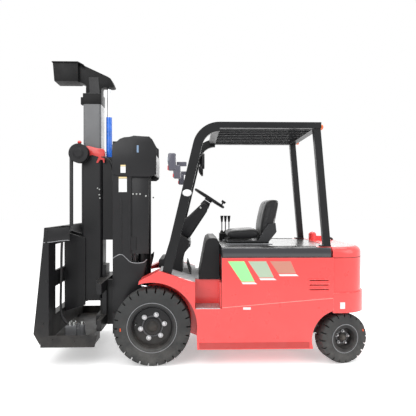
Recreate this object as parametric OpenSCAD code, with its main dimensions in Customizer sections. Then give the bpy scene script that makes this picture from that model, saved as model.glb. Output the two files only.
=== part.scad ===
// Four-wheel electric counterbalance forklift with a two-stage mast.
// Its carriage holds a platform frame and a telescopic column with a top arm.
// X runs from nose to tail, the truck's left side is at -Y, and Z is up from the floor.

/* [Truck] */
// Distance between the front and rear axles
wheelbase = 1740; // [1700:5:1800]
// Width of the painted body
body_w = 1180; // [1160:5:1190]
// Height of the body's underside above the floor
under_z = 150; // [140:1:170]
// Height of the side panels' top edge
panel_top_z = 986; // [960:2:1000]
// Thickness of the body's side walls
wall = 40; // [30:1:50]
// Tail of the counterweight behind the rear axle
tail_overhang = 270; // [265:5:300]
// Height of the floor plate
floor_z = 762; // [740:2:775]

/* [Wheels] */
// Diameter of the front tyres
front_tyre_d = 706; // [690:2:712]
// Width of the front tyres
front_tyre_w = 228; // [220:1:232]
// Diameter of the rear tyres
rear_tyre_d = 462; // [450:2:466]
// Width of the rear tyres
rear_tyre_w = 172; // [165:1:178]
// Number of lugs round a front tyre
front_lugs = 26; // [20:1:30]
// Number of lugs round a rear tyre
rear_lugs = 20; // [16:1:24]
// Steering angle at which the truck is parked
parked_steer = 13; // [0:1:15]

/* [Mast] */
// Height of the lowered mast
mast_h = 2080; // [2000:10:2120]
// Depth of a mast rail from front to back
rail_depth = 180; // [170:2:184]
// Web thickness of a mast rail
rail_t = 16; // [12:1:18]
// Diameter of a lift cylinder's barrel
lift_barrel_d = 76; // [70:1:80]
// Diameter of a tilt cylinder's barrel
tilt_barrel_d = 72; // [66:1:74]

/* [Attachment] */
// Width of the platform frame
frame_w = 1200; // [1160:5:1200]
// Height of the platform frame's top beam
frame_top_z = 1264; // [1240:2:1280]
// Side of the square outer column
column_side = 216; // [206:1:220]
// Wall thickness of the outer column
column_wall = 12; // [10:1:14]
// Height of the outer column's top
column_top_z = 2030; // [2000:5:2040]
// Height of the top arm's upper face, as parked
arm_top_z = 2930; // [2900:5:2950]

/* [Cab] */
// Height of the overhead guard
guard_top_z = 2235; // [2215:5:2240]
// Diameter of the steering wheel
wheel_rim_d = 366; // [350:2:380]
// Width of the seat
seat_w = 490; // [460:5:500]

/* [Hidden] */
$fn = 48;

RED = [0.86, 0.13, 0.12];
BLACK = [0.10, 0.10, 0.11];
GREY = [0.45, 0.45, 0.46];
STEEL = [0.70, 0.71, 0.72];

// Small clearances
seat_gap = 0.3;
run_gap = 6;

// Places along X, measured from the front axle
half_w = body_w / 2;
front_r = front_tyre_d / 2;
rear_r = rear_tyre_d / 2;
tyre_inner_y = half_w + 10 - front_tyre_w;
front_y = tyre_inner_y + front_tyre_w / 2;
tail_x = wheelbase + tail_overhang;
arch_r = front_r + 58;
fender_t = 10;
rear_arch_r = rear_r + 46;
fender_x = -116;
panel_x = 636;
weight_x = wheelbase - 80;
weight_z = 476;
seam_front_z = 527;
seam_rear_z = 622;
hood_t = 96;
hood_top_z = panel_top_z + hood_t;
step_x = 392;
bulkhead_t = 16;
step_z = 520;
step_front_x = sqrt(pow(arch_r + fender_t, 2) - pow(step_z - 24 - front_r, 2)) + 2;
cowl_z = floor_z + 106;
cowl_x = 62;
bay_rear_x = wheelbase - 330;
well_y = tyre_inner_y - 10;
apron_half_w = half_w - 210;
hinge = [weight_x - 10, hood_top_z - 7];
pillar_x = [weight_x - 74, weight_x - 6];
pillar_cap = 62;
notch_gap = 8;
tow_bore_r = 16;
tow_x = tail_x - 55;
tow_z = [560, 650];
tow_foot_z = 400;
hinge_pin_r = 4;

// Mast places
mast_front_x = -400;
mast_bottom_z = 236;
mast_rear_x = mast_front_x + rail_depth;
mast_mid_x = mast_front_x + rail_depth / 2;
outer_rail_y = tyre_inner_y - 16;
outer_flange = 62;
inner_rail_y = outer_rail_y - outer_flange - 5;
inner_flange = 56;
chain_t = 12;
chain_w = 30;
tie_x = mast_rear_x + 24;
tilt_pivot = [-140, 0, 300];
lift_y = 232;
lift_x = tie_x + 20 + lift_barrel_d / 2 + 6;
lift_rod_r = 22;
lift_base_z = 262;
pulley_r = 52;
pulley_y = 168;
pulley_x = tie_x - chain_t - 2 * seat_gap - pulley_r;
pulley_z = mast_h - 130;
OUTER_TIES = [[1040, 1160], [mast_bottom_z + 8, 380]];
bar_x = mast_front_x - 118;

// Attachment places
column_x = -660;
column_bottom_z = 500;
column_foot_z = 1180;
arm_x = column_x + column_side / 2 - 20;
arm_y = 300;
frame_rear_x = -925;
platform_z = [184, 290];
arm_front_x = -1090;
arm_box_rear_x = -795;
tray_rear_x = -436;
ram_x = column_x + column_side / 2 + 48;
ram_base_z = 1146;
ram_top_z = arm_top_z - 550;
ram_foot_z = 1600;
nose_x = arm_front_x;
shift_x = -(nose_x + tail_x) / 2;

// Tilt cylinder places
tilt_eye = [-176, 0, 690];
tilt_anchor = [372, 0, 560];
tilt_y = 306;
tilt_pin_r = 15;

// Steering and hub places
king_y = half_w - 210;
king_pin_r = 16;
hub_offset = 100;
rear_spindle_r = 18;
front_spindle_r = 30;

// Guard places
guard_y = half_w - 70;
guard_tube = [86, 60];
post_tube = [66, 56];
roof_t = 56;
bend_r = 250;
foot_x = 92;
lean = 13.4;

// Steering wheel places
rake = 33;
wheel_c = [540, 0, 1540];
wheel_shaft_r = 14;
dash_reach = 470;

// Height of the sloping toe board at x
function floor_slope(x) = cowl_z - (x - cowl_x) * (cowl_z - floor_z) / (step_x - cowl_x);

// Front face of the guard's leg at height z
function leg_front(z) = foot_x + (z - floor_slope(foot_x)) * tan(lean);

// Point on the dash's top face, which is square to the steering column
function dash_point(s) = [
    wheel_c[0] - sin(rake) * dash_reach - cos(rake) * s,
    wheel_c[2] - cos(rake) * dash_reach + sin(rake) * s
];

// Places its children on both sides of the truck
module both_sides() {
    children();
    mirror([0, 1, 0]) children();
}

// Box from lowest to highest value on each axis
module slab(x, y, z) {
    translate([x[0], y[0], z[0]]) cube([x[1] - x[0], y[1] - y[0], z[1] - z[0]]);
}

// Extrudes a side outline, drawn as X and Z, from y0 to y1
module side_profile(y0, y1) {
    translate([0, y1, 0]) rotate([90, 0, 0]) linear_extrude(y1 - y0) children();
}

// Cylinder along Y
module y_cyl(x, z, r, y) {
    translate([x, y[1], z]) rotate([90, 0, 0]) cylinder(h = y[1] - y[0], r = r);
}

// Round bar between two points
module rod(a, b, r) {
    d = b - a;
    translate(a) rotate([0, acos(d[2] / norm(d)), atan2(d[1], d[0])]) cylinder(h = norm(d), r = r);
}

// Rectangle with round corners
module soft_rect(size, r) {
    translate([-size[0] / 2 + r, -size[1] / 2]) square([size[0] - 2 * r, size[1]]);
    translate([-size[0] / 2, -size[1] / 2 + r]) square([size[0], size[1] - 2 * r]);
    for (sx = [-1, 1], sy = [-1, 1])
        translate([sx * (size[0] / 2 - r), sy * (size[1] / 2 - r)]) circle(r);
}

// Body

module lower_side() {
    side_profile(-half_w, -half_w + wall)
        difference() {
            polygon([
                [arch_r, under_z], [bay_rear_x + 200, under_z], [weight_x - seat_gap, 300],
                [weight_x - seat_gap, seam_rear_z], [panel_x, seam_front_z], [panel_x, step_z],
                [step_x, step_z], [step_x, floor_z], [cowl_x, cowl_z], [fender_x, front_r + arch_r + 14],
                [fender_x - 10, front_r + arch_r * 0.94], [0, front_r], [arch_r - 8, front_r]
            ]);
            translate([0, front_r]) circle(arch_r, $fn = 96);
            translate([wheelbase, rear_r]) circle(rear_arch_r, $fn = 96);
        }
}

module chassis_frame() {
    color(RED) {
        both_sides() {
            lower_side();
            // Inner wall of the wheel well
            side_profile(-well_y, -well_y + 12)
                difference() {
                    polygon([
                        [-60, 420], [460, 190], [560, under_z], [panel_x, under_z],
                        [panel_x, floor_z - 8], [150, floor_z - 8], [-60, 700]
                    ]);
                    translate([0, front_r]) circle(86);
                }
            slab([panel_x - bulkhead_t, panel_x], [-half_w + wall - 1, -well_y + 12], [under_z, floor_z - 8]);
            slab([step_front_x, panel_x], [-half_w + wall - 1, -well_y], [step_z - 24, step_z]);
            // Pillar under a rear post of the guard
            slab([pillar_x[0], pillar_x[1]], [-half_w + wall - 1, -guard_y + 54], [480, panel_top_z - 20]);
            slab([pillar_x[0] - pillar_cap, pillar_x[1]], [-half_w + wall - 1, -guard_y + 54],
                [panel_top_z - 20, hood_top_z]);
            // Pin of a tilt cylinder
            y_cyl(tilt_anchor[0], tilt_anchor[2], 14, [-tilt_y - 46, -tilt_y + 46]);
        }
        // Tray under the battery and its end walls
        slab([panel_x - bulkhead_t, bay_rear_x], [-half_w + wall - 1, half_w - wall + 1], [under_z, under_z + 24]);
        slab([panel_x - bulkhead_t, panel_x], [-well_y + 11, well_y - 11], [under_z, floor_z - 8]);
        slab([bay_rear_x - 20, bay_rear_x], [-half_w + wall - 1, half_w - wall + 1], [under_z, 560]);
        // Beam that carries the tilt cylinders and the floor
        difference() {
            slab([330, 420], [-well_y + 11, well_y - 11], [470, floor_z - 60]);
            both_sides() slab([320, 430], [-tilt_y - 44, -tilt_y + 44], [460, 640]);
        }
    }
}

module front_fenders() {
    color(RED) both_sides()
        side_profile(-half_w + wall + seat_gap, -well_y - seat_gap) {
            intersection() {
                translate([0, front_r]) difference() {
                    circle(arch_r + fender_t, $fn = 96);
                    circle(arch_r, $fn = 96);
                }
                polygon([
                    [fender_x, front_r + 100], [fender_x, 900], [700, 900], [700, 240], [arch_r - 60, 300]
                ]);
            }
            polygon([
                [fender_x, front_r + arch_r + 14], [cowl_x - seat_gap, cowl_z], [cowl_x - seat_gap, cowl_z - 9],
                [fender_x, front_r + arch_r - 20]
            ]);
        }
}

module floor_plate() {
    color([0.62, 0.62, 0.62]) {
        side_profile(-half_w + wall + seat_gap, half_w - wall - seat_gap)
            polygon([
                [step_x, floor_z - 7], [step_x, floor_z], [cowl_x, cowl_z], [cowl_x, cowl_z - 7]
            ]);
        slab([step_x - 1, panel_x - seat_gap], [-well_y + 8, well_y - 8], [floor_z - 7, floor_z]);
    }
}

module step_treads() {
    color(STEEL) both_sides()
        translate([0, 0, step_z + seat_gap]) difference() {
            slab([step_front_x, panel_x - bulkhead_t - seat_gap], [-half_w + 2, -well_y - 14], [0, 8]);
            for (i = [0 : 4], j = [0 : 3])
                translate([step_x + 30 + i * 42, -half_w + 30 + j * 44, -1]) cylinder(h = 10, r = 9, $fn = 16);
        }
}

module drive_axle() {
    color(BLACK) {
        y_cyl(0, front_r, 78, [-well_y + 6, well_y - 6]);
        y_cyl(0, front_r, 150, [-120, 120]);
        y_cyl(180, front_r + 40, 110, [-90, 190]);
        both_sides() {
            // Hub drum and spindle of a drive wheel
            y_cyl(0, front_r, 60, [-front_y + 86, -well_y + 10]);
            y_cyl(0, front_r, 132, [-front_y - 20, -front_y + 88]);
            y_cyl(0, front_r, front_spindle_r, [-front_y - 44, -front_y]);
        }
    }
}

// Cheeks on the axle tube, with the mast's lower pins
module mast_hangers() {
    color(BLACK) both_sides() {
        for (y = [-outer_rail_y - 4, -outer_rail_y + 52])
            side_profile(y, y + 14) difference() {
                union() {
                    polygon([[tilt_pivot[0], 266], [-60, 262], [-60, 414], [tilt_pivot[0], 334]]);
                    translate([tilt_pivot[0], tilt_pivot[2]]) circle(30);
                }
                translate([0, front_r]) circle(78 + seat_gap);
            }
        y_cyl(tilt_pivot[0], tilt_pivot[2], 19, [-outer_rail_y - 8, -outer_rail_y + 70]);
    }
}

module battery() {
    color([0.25, 0.27, 0.30])
        slab([panel_x + 50, bay_rear_x - 30], [-500, 500], [under_z + 24 + seat_gap, panel_top_z - 30]);
}

module side_panel() {
    color(RED) side_profile(-half_w, -half_w + wall * 0.7)
        difference() {
            polygon([
                [panel_x, seam_front_z + seat_gap], [weight_x - seat_gap, seam_rear_z + seat_gap],
                [weight_x - seat_gap, panel_top_z - seat_gap], [panel_x, panel_top_z - seat_gap]
            ]);
            for (i = [0 : 2])
                translate([weight_x - 220, seam_rear_z + 66 + i * 42]) square([176, 9]);
        }
}

module side_panel_left() side_panel();

module side_panel_right() mirror([0, 1, 0]) side_panel();

module seat_apron() {
    color(BLACK) difference() {
        side_profile(-apron_half_w, apron_half_w)
            polygon([
                [425, floor_z + seat_gap], [486, 1084], [500, 1128], [530, 1150], [590, 1150],
                [panel_x - 12, 1112], [panel_x - 12, floor_z + seat_gap]
            ]);
        side_profile(-apron_half_w + 20, apron_half_w - 20)
            polygon([
                [448, floor_z], [508, 1080], [530, 1126], [584, 1126], [panel_x - 32, 1100], [panel_x - 32, floor_z]
            ]);
    }
}

module weight_block(z0, z1, grow, corner, edge) {
    x_end = tail_x - 20 + grow;
    w = half_w - 14 + grow;
    translate([0, 0, z0]) linear_extrude(z1 - z0 - edge) weight_plan(x_end, w, corner);
    translate([0, 0, z1 - edge - 1]) linear_extrude(edge + 1) weight_plan(x_end - edge, w - edge, corner - edge);
    for (s = [-1, 1]) {
        translate([weight_x, s * (w - edge), z1 - edge]) rotate([0, 90, 0])
            cylinder(h = x_end - corner - weight_x, r = edge);
        intersection() {
            translate([x_end - corner, s * (w - corner), z1 - edge])
                rotate_extrude() translate([corner - edge, 0]) circle(edge);
            slab([x_end - corner, x_end + 1], [min(s * w, 0) - 1, max(s * w, 0) + 1], [z1 - edge - 1, z1 + 1]);
        }
    }
    translate([x_end - edge, w - corner, z1 - edge]) rotate([90, 0, 0]) cylinder(h = 2 * (w - corner), r = edge);
}

module weight_plan(x_end, w, corner) {
    translate([weight_x, -w]) square([x_end - corner - weight_x, 2 * w]);
    translate([weight_x, -w + corner]) square([x_end - weight_x, 2 * (w - corner)]);
    intersection() {
        for (s = [-1, 1]) translate([x_end - corner, s * (w - corner)]) circle(corner, $fn = 96);
        translate([weight_x, -w]) square([x_end - weight_x, 2 * w]);
    }
}

module counterweight() {
    color(RED) difference() {
        union() {
            weight_block(560, hood_top_z, 0, 240, 60);
            translate([0, 0, weight_z]) linear_extrude(660 - weight_z) weight_plan(tail_x, half_w, 260);
            slab([bay_rear_x + 10, weight_x + 20], [-130, 130], [520, 900]);
            slab([weight_x - 20, tow_x + 26], [-130, 130], [tow_foot_z, 500]);
            // Hinge tabs and pins of the hood
            both_sides() {
                for (y = [-270, -198]) slab([hinge[0] - 4, weight_x + 1], [y, y + 8], [hinge[1] - 6, hinge[1] + 6]);
                y_cyl(hinge[0], hinge[1], hinge_pin_r, [-266, -194]);
            }
        }
        // Tow pocket and its pin bore
        slab([tail_x - 110, tail_x + 10], [-80, 80], [tow_z[0], tow_z[1]]);
        translate([tow_x, 0, weight_z - 100]) cylinder(h = tow_z[1] + 60 - weight_z + 100, r = tow_bore_r);
        // Recess for the cooling grille
        slab([tail_x - 60, tail_x + 10], [-240, 240], [740, 900]);
    }
}

module rear_grille() {
    color(BLACK) difference() {
        slab([tail_x - 60 + seat_gap, tail_x - 36], [-240 + seat_gap, 240 - seat_gap], [740 + seat_gap, 900 - seat_gap]);
        for (i = [0 : 4]) slab([tail_x - 50, tail_x - 30], [-222, 222], [752 + i * 28, 770 + i * 28]);
    }
}

// Steering

module steer_axle() {
    color(BLACK) {
        difference() {
            translate([wheelbase, 0, rear_r - 20]) linear_extrude(90) both_sides()
                polygon([
                    [-33, -king_y + 40], [33, -king_y + 40], [60, -king_y + 100], [60, 1], [-60, 1], [-60, -king_y + 100]
                ]);
            slab([wheelbase, wheelbase + 90], [-king_y + 120, king_y - 120], [rear_r - 30, rear_r + 40]);
        }
        both_sides() {
            for (z = [rear_r - 62, rear_r + 44]) {
                translate([wheelbase, -king_y, z]) cylinder(h = 26, r = 44);
                slab([wheelbase - 30, wheelbase + 30], [-king_y, -king_y + 70], [z, z + 26]);
            }
            slab([wheelbase - 30, wheelbase + 30], [-king_y + 40, -king_y + 70], [rear_r - 62, rear_r + 70]);
            translate([wheelbase, -king_y, rear_r - 64]) cylinder(h = 136, r = king_pin_r);
        }
        // Steering ram
        y_cyl(wheelbase + 46, rear_r + 10, 36, [-170, 170]);
        y_cyl(wheelbase + 46, rear_r + 10, 15, [-250, 250]);
        slab([wheelbase - 60, wheelbase + 60], [-60, 60], [rear_r + 60, 400 - seat_gap]);
    }
}

// Turns its children about the left king pin to the parked steering angle
module parked(side) {
    translate([wheelbase, side * king_y, 0]) rotate([0, 0, parked_steer]) children();
}

module knuckle(side) {
    color(BLACK) parked(side) {
        difference() {
            union() {
                translate([0, 0, rear_r - 34]) cylinder(h = 76, r = 34);
                translate([0, 0, rear_r]) rotate([-side * 90, 0, 0]) cylinder(h = 64, r = 30);
                translate([0, side * 54, rear_r]) rotate([-side * 90, 0, 0]) cylinder(h = 8, r = 62);
            }
            translate([0, 0, rear_r - 60]) cylinder(h = 120, r = king_pin_r + 0.05);
        }
        translate([0, side * 62, rear_r]) rotate([-side * 90, 0, 0])
            cylinder(h = hub_offset - 62 + 20, r = rear_spindle_r);
    }
}

module knuckle_left() knuckle(-1);

module knuckle_right() knuckle(1);

// Wheels, drawn about Z with the outer face up

// Rows of a tyre's half outline: share of the radius, share of the half width
TYRE_ROWS = [
    [0.585, 0.62], [0.64, 0.86], [0.72, 0.97], [0.80, 1.00], [0.88, 0.985], [0.95, 0.95], [0.985, 0.80], [1.0, 0.55]
];

module tyre_shape(d, w, rim_r) {
    right = [for (row = TYRE_ROWS) [rim_r + (row[0] - 0.585) / 0.415 * (d / 2 - rim_r), row[1] * w / 2]];
    left = [for (i = [len(TYRE_ROWS) - 1 : -1 : 0]) [right[i][0], -right[i][1]]];
    rotate_extrude() polygon(concat(right, left));
}

// Tyre with grooves that leave lugs on both shoulders
module lug_tyre(d, w, rim_r, lugs, groove) {
    color([0.13, 0.13, 0.14]) difference() {
        tyre_shape(d, w, rim_r);
        for (i = [0 : lugs - 1], side = [-1, 1])
            rotate([0, 0, (i + (side > 0 ? 0.5 : 0)) * 360 / lugs])
                translate([d / 2 - groove, -groove * 0.35, side > 0 ? w * 0.2 : -w * 0.55])
                    cube([groove * 2, groove * 0.7, w * 0.35]);
    }
}

module rim(r, w, hub_r, bolt_r, bolts, hub_z, bore_r) {
    color([0.16, 0.16, 0.17]) difference() {
        union() {
            rotate_extrude($fn = 96) polygon([
                [r - 14, -w / 2], [r + 12, -w / 2], [r + 12, -w / 2 + 8], [r, -w / 2 + 14], [r, w / 2 - 14],
                [r + 12, w / 2 - 8], [r + 12, w / 2], [r - 8, w / 2], [r - 22, w / 2 - 26], [r - 26, hub_z],
                [hub_r, hub_z], [hub_r, hub_z - 14], [r - 30, hub_z - 14], [r - 14, hub_z - 30]
            ]);
            translate([0, 0, hub_z - 16]) cylinder(h = 32, r = hub_r + 2);
        }
        translate([0, 0, hub_z - 20]) cylinder(h = 26, r = bore_r);
    }
    color(STEEL) for (i = [0 : bolts - 1])
        rotate([0, 0, i * 360 / bolts + 12]) translate([bolt_r, 0, hub_z - 4]) cylinder(h = 22, r = 13, $fn = 6);
}

module front_wheel_place(side) {
    translate([0, side * front_y, front_r]) rotate([-side * 90, 0, 0]) children();
}

module rear_wheel_place(side) {
    parked(side) translate([0, side * hub_offset, rear_r]) rotate([-side * 90, 0, 0]) children();
}

front_rim_r = 196;
rear_rim_r = 108;
rear_rim_w = 156;

module front_tyre_left() front_wheel_place(-1) lug_tyre(front_tyre_d, front_tyre_w, front_rim_r + 0.3, front_lugs, 22);

module front_tyre_right() front_wheel_place(1) lug_tyre(front_tyre_d, front_tyre_w, front_rim_r + 0.3, front_lugs, 22);

module front_rim_left() front_wheel_place(-1) rim(front_rim_r, 190, 70, 112, 6, 40, front_spindle_r + 0.05);

module front_rim_right() front_wheel_place(1) rim(front_rim_r, 190, 70, 112, 6, 40, front_spindle_r + 0.05);

module rear_tyre_left() rear_wheel_place(-1) lug_tyre(rear_tyre_d, rear_tyre_w, rear_rim_r + 0.3, rear_lugs, 17);

module rear_tyre_right() rear_wheel_place(1) lug_tyre(rear_tyre_d, rear_tyre_w, rear_rim_r + 0.3, rear_lugs, 17);

module rear_rim_left() rear_wheel_place(-1) rim(rear_rim_r, rear_rim_w, 34, 58, 5, 20, rear_spindle_r + 0.05);

module rear_rim_right() rear_wheel_place(1) rim(rear_rim_r, rear_rim_w, 34, 58, 5, 20, rear_spindle_r + 0.05);

// Cab

module guard_side() {
    foot_z = floor_slope(foot_x) + seat_gap;
    bend_z = guard_top_z - bend_r;
    bend_c = [leg_front(bend_z + sin(lean) * bend_r) + cos(lean) * bend_r, bend_z];
    leg_top = [bend_c[0] - cos(lean) * bend_r, bend_c[1] + sin(lean) * bend_r];
    foot_w = guard_tube[0] / cos(lean);
    side_profile(-guard_y - guard_tube[1] / 2, -guard_y + guard_tube[1] / 2) {
        polygon([
            [foot_x, foot_z], leg_top, leg_top + [guard_tube[0] * cos(lean), -guard_tube[0] * sin(lean)],
            [leg_front(floor_slope(foot_x + foot_w)) + foot_w, floor_slope(foot_x + foot_w) + 4]
        ]);
        intersection() {
            translate(bend_c) difference() {
                circle(bend_r, $fn = 96);
                circle(bend_r - guard_tube[0], $fn = 96);
            }
            polygon([bend_c, leg_top + [-2, -1], bend_c + [-300, 300], bend_c + [2, 300], bend_c + [2, 0]]);
        }
        translate([bend_c[0], guard_top_z - roof_t]) square([1560 - bend_c[0], roof_t]);
    }
}

module guard_post() {
    side_profile(-guard_y - post_tube[1] / 2 + 12, -guard_y + post_tube[1] / 2 + 12)
        polygon([
            [1488, guard_top_z - 20], [1488 + post_tube[0], guard_top_z - 20],
            [pillar_x[0] + post_tube[0], hood_top_z + 12], [pillar_x[0], hood_top_z + 12]
        ]);
}

module overhead_guard() {
    roof_x0 = 430;
    color(BLACK) {
        both_sides() {
            guard_side();
            guard_post();
            slab([pillar_x[0] - 30, pillar_x[1] - 2], [-guard_y - 26, -guard_y + 50], [hood_top_z + seat_gap, hood_top_z + 13]);
        }
        slab([roof_x0 + 120, roof_x0 + 190], [-guard_y, guard_y], [guard_top_z - roof_t, guard_top_z - 10]);
        slab([1490, 1560], [-guard_y, guard_y], [guard_top_z - roof_t, guard_top_z - 6]);
        for (i = [-4 : 4])
            slab([roof_x0 + 180, 1500], [i * 104 - 6, i * 104 + 6], [guard_top_z - roof_t + 4, guard_top_z - 10]);
    }
}

module head_lamps() {
    color(BLACK) both_sides() {
        translate([196, -guard_y - 25, 1866]) rotate([0, -90, 0]) {
            cylinder(h = 56, r1 = 34, r2 = 54, $fn = 48);
            translate([0, 0, 55]) cylinder(h = 8, r = 54);
        }
        slab([180, leg_front(1856) - seat_gap], [-guard_y - 36, -guard_y - 14], [1856, 1876]);
        slab([140, 186], [-guard_y - 56, -guard_y + 4], [1752, 1800]);
        slab([180, leg_front(1768) - seat_gap], [-guard_y - 34, -guard_y - 16], [1768, 1784]);
    }
}

module mirrors() {
    color(BLACK) both_sides() {
        translate([456, -guard_y + 54, 1880]) rotate([0, 90, 0]) cylinder(h = 16, r = 74);
        slab([leg_front(1888) + guard_tube[0] / cos(lean) + seat_gap, 460], [-guard_y + 8, -guard_y + 20], [1874, 1888]);
    }
}

module rear_lamps() {
    color([0.95, 0.35, 0.1]) {
        both_sides() translate([1560 + seat_gap, -guard_y + 40, guard_top_z - 34]) rotate([0, 90, 0])
            cylinder(h = 26, r = 26);
        translate([1300, 208, guard_top_z - 10 + seat_gap]) cylinder(h = 24, r = 46);
    }
}

module cowl() {
    color(BLACK) side_profile(-240, 240)
        polygon([
            [134, floor_slope(134) + seat_gap], [150, 1140],
            dash_point(70), dash_point(-70), [300, 1050], [262, 960], [262, floor_slope(262) + seat_gap]
        ]);
}

module steering_column() {
    color(BLACK) translate(wheel_c) rotate([0, rake, 0]) {
        translate([-44, -58, -dash_reach + seat_gap]) cube([88, 116, dash_reach - 110]);
        translate([0, 0, -112]) cylinder(h = 76, r1 = 50, r2 = 40, $fn = 48);
        translate([0, 0, -40]) cylinder(h = 30, r = wheel_shaft_r);
    }
}

module steering_wheel() {
    color(BLACK) translate(wheel_c) rotate([0, rake, 0]) {
        rotate_extrude($fn = 96) translate([wheel_rim_d / 2 - 13, 0]) circle(13);
        difference() {
            translate([0, 0, -34]) cylinder(h = 40, r = 40);
            translate([0, 0, -41]) cylinder(h = 34, r = wheel_shaft_r + 0.05);
        }
        for (a = [60, 180, 300]) rotate([0, 0, a])
            translate([30, -11, -12]) cube([wheel_rim_d / 2 - 46, 22, 12]);
        // Spinner knob
        rotate([0, 0, -35]) translate([wheel_rim_d / 2 - 13, 0, 0]) {
            cylinder(h = 34, r = 8);
            translate([0, 0, 32]) cylinder(h = 24, r1 = 20, r2 = 24, $fn = 48);
        }
    }
}

module pedals() {
    color(BLACK) for (y = [-150, 0, 150]) side_profile(y - 34, y + 34)
        polygon([
            [338, floor_slope(338) + seat_gap], [304, 890], [312, 896], [352, floor_slope(352) + seat_gap]
        ]);
}

module control_levers() {
    z = hood_top_z + seat_gap;
    color(BLACK) {
        slab([660, 850], [290, 410], [z, z + 74]);
        for (i = [0 : 2]) translate([770 - i * 40, 350, z + 72]) {
            cylinder(h = 34, r1 = 26, r2 = 9, $fn = 32);
            cylinder(h = 130, r = 6);
            translate([0, 0, 128]) cylinder(h = 70, r1 = 10, r2 = 18, $fn = 32);
        }
    }
}

module battery_plug() {
    color(RED) {
        translate([1706, 300, hood_top_z + seat_gap]) cylinder(h = 70, r = 42);
        slab([1740, 1880], [282, 318], [hood_top_z + seat_gap, hood_top_z + 46]);
    }
}

module hood() {
    w = half_w;
    r = 46;
    x_end = hinge[0] - 10;
    color(BLACK) difference() {
        union() {
            // Hinge barrels
            both_sides() {
                y_cyl(hinge[0], hinge[1], hinge_pin_r * 2, [-260, -200]);
                slab([x_end - 1, hinge[0]], [-260, -200], [hinge[1] - hinge_pin_r * 2, hood_top_z]);
            }
            slab([panel_x, x_end], [-w + r, w - r], [panel_top_z, hood_top_z]);
            both_sides() {
                slab([panel_x, x_end], [-w, -w + r + 1], [panel_top_z, hood_top_z - r]);
                translate([panel_x, -w + r, hood_top_z - r]) rotate([0, 90, 0])
                    cylinder(h = x_end - panel_x, r = r);
            }
        }
        slab([panel_x + 30, x_end + 10], [-w + 34, w - 34], [panel_top_z - 10, hood_top_z - 24]);
        both_sides() {
            y_cyl(hinge[0], hinge[1], hinge_pin_r + 0.05, [-270, -190]);
            // Notch round the pillar
            slab([pillar_x[0] - pillar_cap - notch_gap, weight_x], [-w + wall - 12, -guard_y + 60],
                [panel_top_z - 10, hood_top_z + 10]);
        }
    }
}

module seat_base() {
    color(BLACK) {
        both_sides() slab([720, 1130], [-seat_w / 2 + 40, -seat_w / 2 + 90], [hood_top_z + seat_gap, hood_top_z + 18]);
        slab([712, 1120], [-seat_w / 2 - 2, seat_w / 2 + 2], [hood_top_z + 18, hood_top_z + 34]);
        // Brackets that carry the back
        both_sides() side_profile(-seat_w / 2 - 2, -seat_w / 2 + 12 - seat_gap)
            polygon([
                [1010, hood_top_z + 20], [1120, hood_top_z + 20], [1200, hood_top_z + 120],
                [1190, hood_top_z + 210], [1120, hood_top_z + 200], [1060, hood_top_z + 110]
            ]);
    }
}

module seat_cushion() {
    z = hood_top_z + 34 + seat_gap;
    color(BLACK) side_profile(-seat_w / 2 + 12, seat_w / 2 - 12)
        polygon([
            [708, z], [700, z + 70], [732, z + 92], [1000, z + 112], [1044, z + 84], [1056, z]
        ]);
}

module seat_back() {
    z = hood_top_z + 34 + seat_gap;
    color(BLACK) side_profile(-seat_w / 2 + 12, seat_w / 2 - 12)
        polygon([
            [1062, z + 10], [1050, z + 120], [1110, z + 380], [1140, z + 416],
            [1230, z + 420], [1246, z + 390], [1186, z + 140], [1150, z + 10]
        ]);
}

// Mast

module outer_rail() {
    x = [mast_front_x, mast_rear_x];
    z = [mast_bottom_z, mast_h];
    slab(x, [-outer_rail_y, -outer_rail_y + rail_t], z);
    for (fx = [x[0], x[1] - rail_t])
        slab([fx, fx + rail_t], [-outer_rail_y, -outer_rail_y + outer_flange], z);
}

module outer_mast() {
    color(BLACK) {
        both_sides() {
            outer_rail();
            // Lug on the lower pin
            side_profile(-outer_rail_y + 12, -outer_rail_y + 50) difference() {
                union() {
                    polygon([[mast_rear_x - 2, 250], [tilt_pivot[0], 264], [tilt_pivot[0], 336], [mast_rear_x - 2, 420]]);
                    translate([tilt_pivot[0], tilt_pivot[2]]) circle(36);
                }
                translate([tilt_pivot[0], tilt_pivot[2]]) circle(19.05);
            }
            // Ears that take the tilt rod's eye
            slab([mast_rear_x - 2, mast_rear_x + 8], [-outer_rail_y, -tilt_y + 26], [630, 750]);
            for (y = [-tilt_y - 26, -tilt_y + 16]) side_profile(y, y + 10)
                polygon([
                    [mast_rear_x, 636], [tilt_eye[0], 658], [tilt_eye[0] + 26, 690], [tilt_eye[0], 722],
                    [mast_rear_x, 744]
                ]);
            y_cyl(tilt_eye[0], tilt_eye[2], tilt_pin_r, [-tilt_y - 28, -tilt_y + 28]);
            // Cheek of the top crossmember
            side_profile(-outer_rail_y - 8, -outer_rail_y + 8)
                polygon([
                    [mast_rear_x - 40, 1742], [mast_rear_x + 60, 1760], [mast_rear_x + 206, 1776],
                    [mast_rear_x + 206, 1986], [mast_rear_x + 160, mast_h - 26],
                    [mast_rear_x + 120, mast_h], [mast_rear_x - 40, mast_h]
                ]);
            for (z = OUTER_TIES)
                slab([mast_rear_x - 1, tie_x + 20], [-outer_rail_y, -inner_rail_y - 11], z);
            slab([tie_x + 16, lift_x + 34], [-lift_y - 36, -lift_y + 36], [lift_base_z - 20, lift_base_z]);
        }
        // Crossmembers behind the rails
        slab([mast_rear_x + 190, mast_rear_x + 206], [-outer_rail_y, outer_rail_y], [1776, 1986]);
        for (z = OUTER_TIES) slab([tie_x, tie_x + 20], [-outer_rail_y, outer_rail_y], z);
    }
}

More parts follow.
